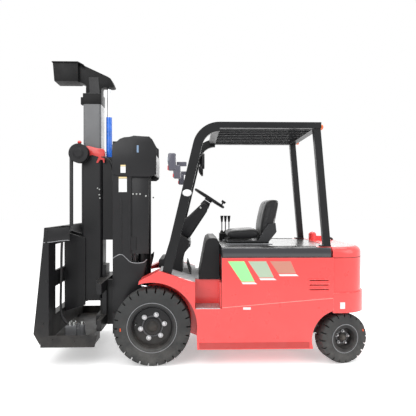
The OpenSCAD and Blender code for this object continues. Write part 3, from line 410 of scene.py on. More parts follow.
FINISHES: dict[str, Finish] = {
    finish.name: finish
    for finish in (
        Finish("body_red", BODY_RED, "body_red", variation=0.07, roughness=0.3, coat=0.5, edge_highlight_colour=BODY_EDGE_HIGHLIGHT,
               edge_highlight_amount=0.7, edge_radius=0.006, bump=0.05, fine=220.0, dust_top=0.06, dust_low=0.1),
        Finish("mast_black", linear(27, 27, 29), "frame_black", roughness=0.4, coat=0.05, specular=0.3, edge_highlight_colour=linear(84, 84, 86),
               edge_highlight_amount=0.6, bump=0.08, fine=300.0, dust_top=0.2, dust_low=0.2),
        Finish("frame_black", linear(20, 20, 22), "frame_black", roughness=0.4, coat=0.05, specular=0.3, edge_highlight_colour=linear(80, 80, 82),
               edge_highlight_amount=0.5, bump=0.08, fine=300.0, dust_top=0.15, dust_low=0.2),
        Finish("guard_black", linear(15, 16, 18), "frame_black", roughness=0.36, coat=0.05, specular=0.3, edge_highlight_colour=linear(66, 68, 72),
               edge_highlight_amount=0.35, bump=0.05, fine=260.0, dust_top=0.08, dust_low=0.0),
        Finish("axle_black", linear(24, 23, 23), "frame_black", roughness=0.6, specular=0.3, edge_highlight_colour=linear(92, 88, 84), edge_highlight_amount=0.5,
               bump=0.3, fine=160.0, dust_top=0.35, dust_low=0.5),
        Finish("hood_black", linear(22, 23, 27), "plastic_black", roughness=0.27, coat=0.2, edge_highlight_colour=linear(96, 98, 108),
               edge_highlight_amount=0.3, edge_radius=0.008, bump=0.1, fine=420.0, bump_distance=0.0003, dust_top=0.08, dust_low=0.0),
        Finish("plastic_black", linear(20, 20, 22), "plastic_black", roughness=0.5, specular=0.3, edge_highlight_colour=linear(88, 88, 90),
               edge_highlight_amount=0.35, bump=0.25, fine=700.0, bump_distance=0.0004, dust_top=0.14, dust_low=0.1),
        Vinyl("seat_vinyl", linear(20, 20, 23), "seat_vinyl", roughness=0.4, specular=0.35, bump=0.25, fine=520.0,
              edge_radius=0.002, dust_top=0.1, dust_low=0.0, sheen=0.15),
        Finish("tyre_rubber", linear(62, 63, 63), "tyre_rubber", variation=0.3, roughness=0.75, specular=0.3, edge_highlight_colour=linear(132, 132, 130),
               edge_highlight_amount=0.45, edge_radius=0.005, bump=0.35, fine=260.0, dust_top=0.1, dust_low=0.35, dust_colour=(0.3, 0.29, 0.27)),
        Finish("hose_rubber", linear(30, 30, 31), "hose_rubber", roughness=0.45, bump=0.1, fine=600.0, edge_radius=0.001,
               dust_top=0.1, dust_low=0.1),
        BrushedMetal("bare_steel", linear(176, 178, 181), "bare_steel", variation=0.3, roughness=0.34, metallic=1.0,
                     bump=0.08, edge_radius=0.002, dust_top=0.1, dust_low=0.1),
        BrushedMetal("rod_chrome", linear(222, 224, 227), "rod_chrome", variation=0.06, roughness=0.1, metallic=1.0,
                     bump=0.01, edge_radius=0.002, dust_top=0.02, dust_low=0.0),
        Finish("column_grey", linear(88, 89, 91), "column_grey", roughness=0.38, coat=0.2, edge_highlight_colour=linear(190, 190, 190),
               edge_highlight_amount=0.6, bump=0.05, fine=260.0, dust_top=0.1, dust_low=0.1),
        RibbedMat("floor_mat", linear(166, 166, 168), "floor_grey", roughness=0.7, bump=0.8, bump_distance=0.002, fine=500.0,
                  edge_radius=0.002, dust_top=0.25, dust_low=0.0),
        TreadPlate("tread_plate", linear(196, 188, 188), "bare_steel", roughness=0.4, metallic=0.8, bump=0.9, bump_distance=0.0025,
                   fine=500.0, edge_radius=0.002, dust_top=0.2, dust_low=0.0),
        Finish("lamp_amber", linear(255, 120, 30), "lamp_amber", variation=0.05, roughness=0.12, coat=0.6, bump=0.02, edge_radius=0.001,
               dust_top=0.03, dust_low=0.0),
        Finish("lamp_red", linear(226, 40, 34), "lamp_amber", variation=0.05, roughness=0.12, coat=0.6, bump=0.02, edge_radius=0.001,
               dust_top=0.03, dust_low=0.0),
        Finish("wrap_blue", linear(34, 116, 232), "wrap_blue", variation=0.3, roughness=0.25, coat=0.3, bump=0.6, bump_distance=0.002,
               broad=14.0, fine=70.0, edge_radius=0.002, dust_top=0.05, dust_low=0.0),
        Finish("plate_white", linear(236, 238, 238), "bare_steel", variation=0.05, roughness=0.4, bump=0.03, edge_radius=0.0005,
               dust_top=0.02, dust_low=0.02),
        Finish("stripe_green", linear(160, 250, 160), "body_red", variation=0.06, roughness=0.4, bump=0.02, edge_radius=0.0005,
               dust_top=0.0, dust_low=0.0),
        Finish("stripe_sage", linear(180, 200, 175), "body_red", variation=0.08, roughness=0.4, bump=0.02, edge_radius=0.0005,
               dust_top=0.0, dust_low=0.0),
        Finish("stripe_clay", linear(204, 140, 122), "body_red", variation=0.08, roughness=0.4, bump=0.02, edge_radius=0.0005,
               dust_top=0.0, dust_low=0.0),
        Finish("head_arm_black", linear(10, 10, 11), "frame_black", roughness=0.5, specular=0.2, edge_highlight_colour=linear(56, 58, 60),
               edge_highlight_amount=0.5, bump=0.08, fine=300.0, dust_top=0.05, dust_low=0.0),
        Finish("rim_edge", linear(74, 74, 77), "frame_black", roughness=0.35, coat=0.2, edge_highlight_colour=linear(160, 160, 162),
               edge_highlight_amount=0.7, bump=0.05, fine=300.0, edge_radius=0.002, dust_top=0.1, dust_low=0.1),
        BrushedMetal("nut_steel", linear(206, 206, 208), "bare_steel", variation=0.3, roughness=0.3, metallic=1.0, bump=0.1,
                     edge_radius=0.0015, dust_top=0.15, dust_low=0.25),
        Finish("mark_orange", linear(238, 92, 40), "lamp_amber", variation=0.15, roughness=0.55, bump=0.1, edge_radius=0.001,
               dust_top=0.0, dust_low=0.05),
        # Pale metal: the valve block's own colour, and the colour of the painted highlight tubes along edges.
        Finish("pale_steel_and_highlight", linear(150, 151, 154), "frame_black", roughness=0.3, metallic=0.6, bump=0.2, fine=400.0,
               edge_radius=0.001, dust_top=0.1, dust_low=0.05),
        BrushedMetal("bolt_zinc", linear(196, 198, 196), "bare_steel", variation=0.25, roughness=0.3, metallic=1.0, bump=0.08,
                     edge_radius=0.001, dust_top=0.1, dust_low=0.1),
        Finish("clamp_red", linear(214, 60, 56), "body_red", variation=0.1, roughness=0.35, coat=0.4, edge_highlight_colour=BODY_EDGE_HIGHLIGHT,
               edge_highlight_amount=0.5, bump=0.05, fine=260.0, edge_radius=0.002, dust_top=0.05, dust_low=0.0),
        Finish("lamp_shell", linear(80, 80, 92), "plastic_black", roughness=0.35, coat=0.3, edge_highlight_colour=linear(160, 160, 170),
               edge_highlight_amount=0.4, bump=0.1, fine=500.0, edge_radius=0.004, dust_top=0.1, dust_low=0.0),
        Finish("lens_clear", linear(214, 220, 228), "bare_steel", variation=0.12, roughness=0.08, coat=1.0, bump=0.2, fine=180.0,
               edge_radius=0.001, dust_top=0.0, dust_low=0.0),
        Finish("mirror_glass", linear(150, 176, 206), "bare_steel", variation=0.1, roughness=0.05, metallic=0.9, bump=0.01,
               edge_radius=0.001, dust_top=0.0, dust_low=0.0),
        Finish("cab_plastic", linear(18, 18, 21), "plastic_black", roughness=0.42, coat=0.0, specular=0.3, edge_highlight_colour=linear(80, 80, 82),
               edge_highlight_amount=0.35, bump=0.2, fine=650.0, edge_radius=0.004, dust_top=0.12, dust_low=0.0),
        Finish("hood_gloss", linear(24, 25, 33), "plastic_black", roughness=0.14, coat=0.7, edge_highlight_colour=linear(110, 110, 124),
               edge_highlight_amount=0.3, bump=0.06, fine=420.0, dust_top=0.04, dust_low=0.0),
        # Darker red for the painted shade along the bottom of the skirt.
        Finish("skirt_shade_red", linear(196, 60, 58), "body_red", variation=0.08, roughness=0.45, bump=0.05, fine=220.0,
               edge_radius=0.0005, dust_top=0.0, dust_low=0.15),
        Finish("blank_print", linear(236, 214, 160), "bare_steel", variation=0.05, roughness=0.45, bump=0.02, edge_radius=0.0005,
               dust_top=0.0, dust_low=0.0),
        # Pale red for the painted highlight along the side seam.
        Finish("seam_painted_highlight", linear(255, 176, 168), "body_red", variation=0.1, roughness=0.3, bump=0.05, edge_radius=0.0005,
               dust_top=0.0, dust_low=0.0),
        Finish("seam_dark", linear(60, 22, 22), "body_red", variation=0.2, roughness=0.7, bump=0.1, edge_radius=0.001,
               dust_top=0.0, dust_low=0.0),
    )
}

NODE_FINISH: dict[str, Sequence[str]] = {
    "body_red": ("chassis_frame", "front_fenders", "side_panel_left", "side_panel_right", "counterweight", "reel_bracket",
                 "battery_plug"),
    "mast_black": ("outer_mast", "inner_mast", "carriage", "outer_column"),
    "frame_black": ("platform_frame", "hose_tray", "top_arm", "lift_barrels", "tilt_barrel_left", "tilt_barrel_right",
                    "front_rim_left", "front_rim_right", "rear_rim_left", "rear_rim_right"),
    "guard_black": ("overhead_guard",),
    "axle_black": ("drive_axle", "mast_hangers", "steer_axle", "knuckle_left", "knuckle_right", "battery"),
    "hood_black": ("hood", "seat_base"),
    "plastic_black": ("seat_apron", "rear_grille", "head_lamps", "mirrors", "cowl", "steering_column", "steering_wheel", "pedals",
                      "control_levers", "hose_reel"),
    "seat_vinyl": ("seat_cushion", "seat_back"),
    "tyre_rubber": ("front_tyre_left", "front_tyre_right", "rear_tyre_left", "rear_tyre_right"),
    "hose_rubber": ("reel_hose",),
    "pale_steel_and_highlight": ("valve_block",),
    "bare_steel": ("chain_pulleys", "lift_chains", "anchor_chains"),
    "rod_chrome": ("lift_rods", "ram_rod", "tilt_rod_left", "tilt_rod_right"),
    "column_grey": ("inner_column",),
    "floor_mat": ("floor_plate",),
    "tread_plate": ("step_treads",),
    "lamp_amber": ("rear_lamps",),
    "wrap_blue": ("column_ram",),
}


class Paintshop:
    """Makes each material once and puts it on nodes and pieces."""

    def __init__(self) -> None:
        """Builds the shared effects and every finish."""
        effects = SharedEffects()
        self.materials = {name: finish.make(effects) for name, finish in FINISHES.items()}

    def coat_nodes(self, nodes: dict[str, bpy.types.Object]) -> None:
        """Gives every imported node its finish.

        Args:
            nodes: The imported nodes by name.
        """
        finish_of = {node: name for name, group in NODE_FINISH.items() for node in group}
        for name, node in nodes.items():
            node.data.materials.clear()
            node.data.materials.append(self.materials[finish_of[name]])
            LOG.info("finish %s on %s", finish_of[name], name)

    def coat(self, piece: bpy.types.Object, finish: str) -> bpy.types.Object:
        """Puts one finish on a new piece."""
        piece.data.materials.clear()
        piece.data.materials.append(self.materials[finish])
        return piece


# ---------------------------------------------------------------- modelling


class Bench:
    """Modelling steps with Blender's own operators."""

    @staticmethod
    def clear() -> None:
        """Leaves edit mode and deselects everything."""
        if bpy.context.object and bpy.context.object.mode != "OBJECT":
            bpy.ops.object.mode_set(mode="OBJECT")
        bpy.ops.object.select_all(action="DESELECT")

    @staticmethod
    def named(name: str) -> bpy.types.Object:
        """Names the active object and its mesh."""
        piece = bpy.context.object
        piece.name = name
        piece.data.name = name
        return piece

    @classmethod
    def cube(cls, name: str, size: Point, place: Point) -> bpy.types.Object:
        """Adds a box of a given size, with its place in its mesh."""
        cls.clear()
        bpy.ops.mesh.primitive_cube_add(size=1, location=place)
        piece = cls.named(name)
        piece.scale = size
        cls.settle(piece)
        return piece

    @classmethod
    def cylinder(cls, name: str, radius: float, depth: float, place: Point, turn: Point = (0, 0, 0), sides: int = 24) -> bpy.types.Object:
        """Adds a cylinder, with its place in its mesh."""
        cls.clear()
        bpy.ops.mesh.primitive_cylinder_add(vertices=sides, radius=radius, depth=depth, location=place, rotation=turn)
        piece = cls.named(name)
        cls.settle(piece)
        return piece

    @classmethod
    def settle(cls, piece: bpy.types.Object) -> None:
        """Puts the object's place, turn and scale into its mesh."""
        cls.clear()
        piece.select_set(True)
        bpy.context.view_layer.objects.active = piece
        bpy.ops.object.transform_apply(location=True, rotation=True, scale=True)

    @classmethod
    def apply(cls, piece: bpy.types.Object) -> None:
        """Applies all of a piece's modifiers in order."""
        cls.clear()
        piece.select_set(True)
        bpy.context.view_layer.objects.active = piece
        for modifier in list(piece.modifiers):
            bpy.ops.object.modifier_apply(modifier=modifier.name)

    @classmethod
    def round_edges(cls, piece: bpy.types.Object, width: float, segments: int = 2) -> bpy.types.Object:
        """Bevels a piece's sharp edges and smooths it by angle."""
        modifier = piece.modifiers.new("edges", "BEVEL")
        modifier.width = width
        modifier.segments = segments
        modifier.limit_method = "ANGLE"
        cls.apply(piece)
        cls.smooth(piece)
        return piece

    @classmethod
    def smooth(cls, piece: bpy.types.Object, angle: float = 40.0) -> None:
        """Shades a piece smooth up to an angle in degrees."""
        cls.clear()
        piece.select_set(True)
        bpy.context.view_layer.objects.active = piece
        bpy.ops.object.shade_smooth_by_angle(angle=math.radians(angle))

    @classmethod
    def subdivide(cls, piece: bpy.types.Object, levels: int) -> None:
        """Subdivides a piece smoothly and shades it smooth."""
        modifier = piece.modifiers.new("soft", "SUBSURF")
        modifier.levels = modifier.render_levels = levels
        cls.apply(piece)
        cls.smooth(piece, 60)

    @classmethod
    def join(cls, pieces: Sequence[bpy.types.Object], name: str) -> bpy.types.Object:
        """Joins pieces into the first one."""
        cls.clear()
        for piece in pieces:
            piece.select_set(True)
        bpy.context.view_layer.objects.active = pieces[0]
        if len(pieces) > 1:
            bpy.ops.object.join()
        return cls.named(name)

    @classmethod
    def copy(cls, piece: bpy.types.Object, move: Matrix, name: str) -> bpy.types.Object:
        """Copies a piece with its own mesh, moved by a matrix."""
        twin = piece.copy()
        twin.data = piece.data.copy()
        bpy.context.scene.collection.objects.link(twin)
        twin.data.transform(move)
        if move.to_3x3().determinant() < 0:
            twin.data.flip_normals()
        twin.name = name
        twin.data.name = name
        return twin

    @classmethod
    def fill(cls, name: str, verts: Sequence[Point], edges: Sequence[tuple[int, int]], faces: Sequence[Sequence[int]]) -> bpy.types.Object:
        """Makes a piece from corners, edges and faces, and leaves it selected."""
        cls.clear()
        mesh = bpy.data.meshes.new(name)
        mesh.from_pydata([tuple(p) for p in verts], edges, faces)
        piece = bpy.data.objects.new(name, mesh)
        bpy.context.scene.collection.objects.link(piece)
        piece.select_set(True)
        bpy.context.view_layer.objects.active = piece
        return piece

    @classmethod
    def faces(cls, name: str, verts: Sequence[Point], faces: Sequence[Sequence[int]]) -> bpy.types.Object:
        """Makes a closed piece whose faces point outwards."""
        piece = cls.fill(name, verts, [], faces)
        bpy.ops.object.mode_set(mode="EDIT")
        bpy.ops.mesh.select_all(action="SELECT")
        bpy.ops.mesh.normals_make_consistent(inside=False)
        bpy.ops.object.mode_set(mode="OBJECT")
        return piece

    @classmethod
    def turned(cls, name: str, profile: Sequence[tuple[float, float]], place: Matrix, sides: int = 24) -> bpy.types.Object:
        """Spins a profile about Z and places the result.

        Args:
            name: The piece's name.
            profile: Radius and height of each corner.
            place: The turn and place of the spun piece.
            sides: The number of steps round.

        Returns:
            The piece.
        """
        edges = [(number, number + 1) for number in range(len(profile) - 1)]
        if profile[0][0] > 0:
            edges.append((len(profile) - 1, 0))
        piece = cls.fill(name, [(r, 0.0, h) for r, h in profile], edges, [])
        bpy.ops.object.mode_set(mode="EDIT")
        bpy.ops.mesh.select_all(action="SELECT")
        bpy.ops.mesh.spin(steps=sides, angle=2 * math.pi, center=(0, 0, 0), axis=(0, 0, 1))
        bpy.ops.mesh.select_all(action="SELECT")
        bpy.ops.mesh.remove_doubles(threshold=0.00002)
        bpy.ops.mesh.normals_make_consistent(inside=False)
        bpy.ops.object.mode_set(mode="OBJECT")
        piece.data.transform(place)
        cls.smooth(piece)
        return piece

    @classmethod
    def plate(cls, name: str, middle: Vector, wide: float, high: float, depth: float) -> bpy.types.Object:
        """Makes an upright plate from its middle, its size and its depth along Y."""
        corners = [middle + Vector((a * wide / 2, 0, b * high / 2)) for a, b in ((-1, -1), (1, -1), (1, 1), (-1, 1))]
        return cls.outline(name, corners, Vector((0, depth, 0)))

    @classmethod
    def outline(cls, name: str, points: Sequence[Point], depth: Vector) -> bpy.types.Object:
        """Fills an outline and extrudes it.

        Args:
            name: The piece's name.
            points: The corners in order.
            depth: The move of the extruded face.

        Returns:
            The plate.
        """
        piece = cls.fill(name, points, [], [tuple(range(len(points)))])
        bpy.ops.object.mode_set(mode="EDIT")
        bpy.ops.mesh.select_all(action="SELECT")
        bpy.ops.mesh.extrude_region_move(TRANSFORM_OT_translate={"value": tuple(depth)})
        bpy.ops.mesh.select_all(action="SELECT")
        bpy.ops.mesh.normals_make_consistent(inside=False)
        bpy.ops.object.mode_set(mode="OBJECT")
        return piece

    @classmethod
    def tube(cls, name: str, points: Sequence[Point], radius: float, sides: int = 3) -> bpy.types.Object:
        """Lays a smooth round tube along points and makes it a mesh.

        Args:
            name: The piece's name.
            points: The points that it follows.
            radius: The tube's radius.
            sides: Its bevel resolution.

        Returns:
            The tube.
        """
        cls.clear()
        curve = bpy.data.curves.new(name, "CURVE")
        curve.dimensions = "3D"
        curve.bevel_depth = radius
        curve.bevel_resolution = sides
        curve.use_fill_caps = True
        curve.resolution_u = 6
        spline = curve.splines.new("NURBS")
        spline.points.add(len(points) - 1)
        for spot, point in zip(spline.points, points):
            spot.co = (*point, 1.0)
        spline.use_endpoint_u = True
        spline.order_u = 3
        piece = bpy.data.objects.new(name, curve)
        bpy.context.scene.collection.objects.link(piece)
        piece.select_set(True)
        bpy.context.view_layer.objects.active = piece
        bpy.ops.object.convert(target="MESH")
        piece = cls.named(name)
        cls.smooth(piece, 60)
        return piece


@dataclass
class SubAssembly:
    """A part of the truck with what it needs to make and dress its pieces."""

    shop: Paintshop

    def finish(self, piece: bpy.types.Object, finish: str, body: str, replaces: Iterable[str] = ()) -> bpy.types.Object:
        """Coats a piece, puts it on a body and reports it.

        Args:
            piece: The piece, in place.
            finish: The finish's name.
            body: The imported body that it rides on.
            replaces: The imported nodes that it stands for.

        Returns:
            The piece.
        """
        self.shop.coat(piece, finish)
        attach(piece, body)
        if replaces:
            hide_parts(*replaces)
        LOG.info("piece %s rides on %s", piece.name, body)
        return piece


@dataclass
class SidePanels(SubAssembly):
    """Stripes and blank labels on the red sides."""

    face_y: float = 0.590
    film: float = 0.0009
    top_z: float = 0.955
    start_x: float = 0.690

    def build(self) -> None:
        """Builds the stripes and labels of both sides."""
        for side in Side:
            self.stripes(side)
            self.labels(side)

    def stripes(self, side: Side) -> None:
        """Lays three slanted tapering stripes with white edges on one side."""
        rows = (("stripe_green", 0.0, 0.150, 0.0), ("stripe_sage", 0.185, 0.165, 0.036), ("stripe_clay", 0.385, 0.190, 0.072))
        y = side.value * self.face_y
        lift = Vector((0, side.value * self.film, 0))
        for finish, along, width, drop in rows:
            left = self.start_x + along
            top = self.top_z
            bottom = self.top_z - 0.185 + drop
            slant = (top - bottom) * 0.62
            corners = [truck(left, y, top), truck(left + width, y, top), truck(left + width - 0.02 + slant, y, bottom),
                       truck(left + slant + 0.01, y, bottom)]
            plate = Bench.outline(f"{finish}_{side.word}", corners, lift)
            self.finish(plate, finish, "chassis")
            rim = [truck(left + slant + 0.01, y, bottom - 0.006), truck(left + width - 0.02 + slant, y, bottom - 0.006),
                   truck(left + width + slant + 0.005, y, bottom - 0.024), truck(left + slant + 0.022, y, bottom - 0.024)]
            self.finish(Bench.outline(f"{finish}_edge_{side.word}", rim, lift), "plate_white", "chassis")

    def labels(self, side: Side) -> None:
        """Adds two blank white labels on one side."""
        y = side.value * self.face_y
        lift = Vector((0, side.value * self.film, 0))
        for number, (x, z, wide, high) in enumerate(((0.865, 0.524, 0.07, 0.022), (1.745, 0.545, 0.045, 0.06))):
            corners = [truck(x - wide / 2, y, z - high / 2), truck(x + wide / 2, y, z - high / 2),
                       truck(x + wide / 2, y, z + high / 2), truck(x - wide / 2, y, z + high / 2)]
            self.finish(Bench.outline(f"label_{number}_{side.word}", corners, lift), "plate_white", "chassis")


@dataclass
class Seat(SubAssembly):
    """The padded cushion and back, with piping and sewn channels."""

    half_wide: float = 0.226
    voxel: float = 0.006
    cap: float = 0.005
    base_z: float = 1.1166
    cushion_side: Sequence[tuple[float, float]] = ((0.706, 0.004), (0.702, 0.062), (0.738, 0.090), (0.86, 0.094), (0.99, 0.108),
                                                   (1.040, 0.084), (1.050, 0.004))
    back_side: Sequence[tuple[float, float]] = ((1.066, 0.014), (1.056, 0.120), (1.082, 0.250), (1.112, 0.372), (1.142, 0.408),
                                                (1.218, 0.410), (1.236, 0.384), (1.206, 0.250), (1.182, 0.140), (1.152, 0.014))

    def build(self) -> None:
        """Builds both pads and their piping."""
        for name, side, crown, node in (("seat_cushion_pad", self.cushion_side, (0, 0, 0.012), "seat_cushion"),
                                        ("seat_back_pad", self.back_side, (-0.014, 0, 0.004), "seat_back")):
            pad = self.puffed(self.pad(name, side, Vector(crown)))
            self.finish(pad, "seat_vinyl", "hood", (node,))
            for word, y in (("left", -self.half_wide), ("right", self.half_wide)):
                mid_x = sum(x for x, _ in side) / len(side)
                mid_z = sum(z for _, z in side) / len(side)
                loop = [truck(mid_x + (x - mid_x) * 0.86, y * 0.93, self.base_z + mid_z + (z - mid_z) * 0.95) for x, z in side]
                self.finish(Bench.tube(f"{name}_piping_{word}", [*loop, loop[0]], 0.0035, 2), "hose_rubber", "hood")

    def pad(self, name: str, side: Sequence[tuple[float, float]], crown: Vector) -> bpy.types.Object:
        """Makes one pad: a side outline extruded in rows, crowned, channelled and subdivided.

        Args:
            name: The piece's name.
            side: The side outline as X and height over the seat frame.
            crown: The move of the pad's middle.

        Returns:
            The pad.
        """
        rows = 12
        start = [truck(x, -self.half_wide, self.base_z + z) for x, z in side]
        piece = Bench.outline(name, start, Vector((0, 2 * self.half_wide / rows, 0)))
        work = bmesh.new()
        work.from_mesh(piece.data)
        for row in range(1, rows):
            far = max(work.faces, key=lambda face: face.calc_center_median().y)
            made = bmesh.ops.extrude_face_region(work, geom=[far])
            verts = [item for item in made["geom"] if isinstance(item, bmesh.types.BMVert)]
            bmesh.ops.translate(work, verts=verts, vec=(0, 2 * self.half_wide / rows, 0))
            bmesh.ops.delete(work, geom=[far], context="FACES_ONLY")
        middle = sum((vert.co for vert in work.verts), Vector()) / len(work.verts)
        for vert in work.verts:
            share = vert.co.y / self.half_wide
            full = max(0.0, 1.0 - share ** 4)
            vert.co += crown * full
            pull = 0.018 * abs(share) ** 8
            vert.co.x += (middle.x - vert.co.x) * pull * 4
            vert.co.z += (middle.z - vert.co.z) * pull * 4
            if abs(abs(share) - 0.5) < 0.03:
                inward = Vector((middle.x - vert.co.x, 0, middle.z - vert.co.z))
                vert.co += inward.normalized() * 0.007
        bmesh.ops.recalc_face_normals(work, faces=work.faces)
        work.to_mesh(piece.data)
        work.free()
        Bench.subdivide(piece, 2)
        return piece

    def puffed(self, piece: bpy.types.Object) -> bpy.types.Object:
        """Blows the pad up as cloth, with each point's move capped, and subdivides it once."""
        remesh = piece.modifiers.new("even", "REMESH")
        remesh.mode = "VOXEL"
        remesh.voxel_size = self.voxel
        Bench.apply(piece)
        start = [vert.co.copy() for vert in piece.data.vertices]
        cloth = piece.modifiers.new("puff", "CLOTH")
        cloth.settings.use_pressure = True
        cloth.settings.uniform_pressure_force = 4.0
        cloth.settings.effector_weights.gravity = 0.0
        for step in range(1, 21):
            bpy.context.scene.frame_set(step)
        Bench.apply(piece)
        bpy.context.scene.frame_set(1)
        for vert, old in zip(piece.data.vertices, start):
            move = vert.co - old
            if move.length > self.cap:
                vert.co = old + move.normalized() * self.cap
        Bench.subdivide(piece, 1)
        return piece


@dataclass
class Wheels(SubAssembly):
    """Nuts, washers, hub caps, valves and paint marks on the four wheels."""

    parked_steer: float = 13.0
    front_centre: Point = (0.0, 0.486, 0.353)
    rear_pin: Point = (1.740, 0.380, 0.231)
    rear_offset: float = 0.100

    def build(self) -> None:
        """Dresses every wheel."""
        for side in Side:
            front, rear = self.places(side)
            self.dress(f"front_{side.word}", f"front_wheel_{side.word}", front, 6, 0.112, 0.0445, 0.052, 0.114, 0.285, 183.0)
            self.dress(f"rear_{side.word}", f"rear_wheel_{side.word}", rear, 5, 0.058, 0.0245, 0.030, 0.086, 0.196, 20.0)

    def places(self, side: Side) -> tuple[Matrix, Matrix]:
        """Gives the places of one side's front and rear wheel, outer faces up."""
        turn = Matrix.Rotation(-side.value * math.radians(90), 4, "X")
        front = Matrix.Translation(truck(0, side.value * self.front_centre[1], self.front_centre[2])) @ turn
        pin = Matrix.Translation(truck(self.rear_pin[0], side.value * self.rear_pin[1], self.rear_pin[2]))
        steer = Matrix.Rotation(math.radians(self.parked_steer), 4, "Z")
        return front, pin @ steer @ Matrix.Translation((0, side.value * self.rear_offset, 0)) @ turn

    def dress(self, name: str, body: str, place: Matrix, nuts: int, radius: float, face: float, hub: float, half: float,
              mark: float, turn: float) -> None:
        """Adds one wheel's small parts, drawn about Z with the outer face up.

        Args:
            name: The wheel's name in the pieces' names.
            body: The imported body.
            place: The wheel's place.
            nuts: The number of wheel nuts.
            radius: The nuts' pitch radius.
            face: Height of the disc's face over the wheel's middle.
            hub: Radius of the hub cap.
            half: Half of the tyre's width.
            mark: Radius at which the paint mark lies on the tyre.
            turn: The angle in degrees at which the paint mark lies.
        """
        size = 0.023 if nuts == 6 else 0.015
        shape = ((0.0, 0.019), (size * 0.45, 0.019), (size * 0.66, 0.015), (size * 0.74, 0.004), (size, 0.003), (size, -0.005), (0.0, -0.005))
        parts = []
        for number in range(nuts):
            spot = Matrix.Rotation(math.radians(number * 360 / nuts + 12), 4, "Z") @ Matrix.Translation((radius, 0, face + 0.004))
            parts.append(Bench.turned(f"nut_{number}", shape, place @ spot, 14))
        self.finish(Bench.join(parts, f"{name}_nuts"), "nut_steel", body)
        cap = ((0.0, 0.040), (hub * 0.5, 0.038), (hub * 0.8, 0.030), (hub * 0.92, 0.018), (hub, 0.016), (hub, 0.0), (0.0, 0.0))
        self.finish(Bench.turned(f"{name}_hub_cap", cap, place @ Matrix.Translation((0, 0, face - 0.002)), 32), "axle_black", body)
        ring = [(hub * 1.62 + a, b) for a, b in ((0, 0), (0.004, 0.004), (0.010, 0.004), (0.014, 0))]
        self.finish(Bench.turned(f"{name}_ring", ring, place @ Matrix.Translation((0, 0, face - 0.003)), 48), "rim_edge", body)
        valve = Bench.turned(f"{name}_valve", ((0.0, 0.034), (0.004, 0.034), (0.005, 0.0), (0.0, 0.0)),
                             place @ Matrix.Translation((-radius * 1.36, 0.02, face - 0.004)), 12)
        self.finish(valve, "bare_steel", body)
        arc = [place @ Vector((mark * math.cos(math.radians(turn) + a), mark * math.sin(math.radians(turn) + a), half * 0.985)) for a in (-0.05, -0.025, 0.0, 0.025, 0.05)]
        self.finish(Bench.tube(f"{name}_mark", arc, 0.0065, 1), "mark_orange", body)


@dataclass
class Tyres(SubAssembly):
    """Four tyres whose shoulders carry deep staggered lugs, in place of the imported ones."""

    wheels: Wheels
    rows: Sequence[tuple[float, float]] = ((0.0, 0.80), (0.05, 0.90), (0.10, 0.93), (0.135, 0.93), (0.160, 0.975), (0.185, 0.94), (0.30, 0.985),
                                          (0.50, 0.998), (0.68, 0.985), (0.80, 0.960), (0.90, 0.925), (0.965, 0.86), (0.99, 0.78),
                                          (1.0, 0.62), (1.0, 0.40), (1.0, 0.12))
    steps: Sequence[float] = (0.0, 0.025, 0.165, 0.19, 0.50, 0.525, 0.665, 0.69)

    def build(self) -> None:
        """Builds the four tyres."""
        for side in Side:
            front, rear = self.wheels.places(side)
            for axle, place, radius, half, bead, lugs, depth in (("front", front, 0.3528, 0.1138, FRONT_BEAD, 26, 0.040),
                                                                 ("rear", rear, 0.2308, 0.0858, REAR_BEAD, 20, 0.032)):
                tyre = self.lug_tyre(f"{axle}_lug_tyre_{side.word}", place, radius, half, bead, lugs, depth)
                self.finish(tyre, "tyre_rubber", f"{axle}_wheel_{side.word}", (f"{axle}_tyre_{side.word}",))
                self.finish(self.rim_line(f"{axle}_rim_line_{side.word}", place, bead, radius, half), "pale_steel_and_highlight", f"{axle}_wheel_{side.word}")

    @staticmethod
    def rim_line(name: str, place: Matrix, bead: float, radius: float, half: float) -> bpy.types.Object:
        """Turns the thin pale ring of painted highlight where the rim meets the tyre's wall."""
        ring = [(bead + 0.185 * (radius - bead) + a, half * 0.955 + b) for a, b in ((-0.003, -0.003), (-0.002, 0.002), (0.002, 0.002), (0.003, -0.003))]
        return Bench.turned(name, ring, place, 72)

    def lug_tyre(self, name: str, place: Matrix, radius: float, half: float, bead: float, lugs: int, depth: float) -> bpy.types.Object:
        """Sweeps the section round the axle, with the shoulder let down between the lugs.

        Args:
            name: The piece's name.
            place: The wheel's place, outer face up.
            radius: The outer radius.
            half: Half of the width.
            bead: The radius at the rim.
            lugs: The number of lugs on each shoulder.
            depth: The depth of the gaps between them.

        Returns:
            The tyre.
        """
        span = radius - bead
        floor = 1 - depth / span
        section = [(s, t) for s, t in self.rows] + [(s, -t) for s, t in reversed(self.rows)]
        verts = []
        for lug in range(lugs):
            for number, step in enumerate(self.steps):
                angle = (lug + step) * 2 * math.pi / lugs
                for share, wide in section:
                    gap = number in ((1, 2) if wide > 0 else (5, 6))
                    low = min(share, floor) if gap and abs(wide) > 0.2 else share
                    spot = Vector(((bead + low * span) * math.cos(angle), (bead + low * span) * math.sin(angle), wide * half))
                    verts.append(tuple(place @ spot))
        count, around = len(section), lugs * len(self.steps)
        faces = [(a * count + b, ((a + 1) % around) * count + b, ((a + 1) % around) * count + (b + 1) % count, a * count + (b + 1) % count)
                 for a in range(around) for b in range(count)]
        piece = Bench.faces(name, verts, faces)
        Bench.smooth(piece, 28)
        return piece


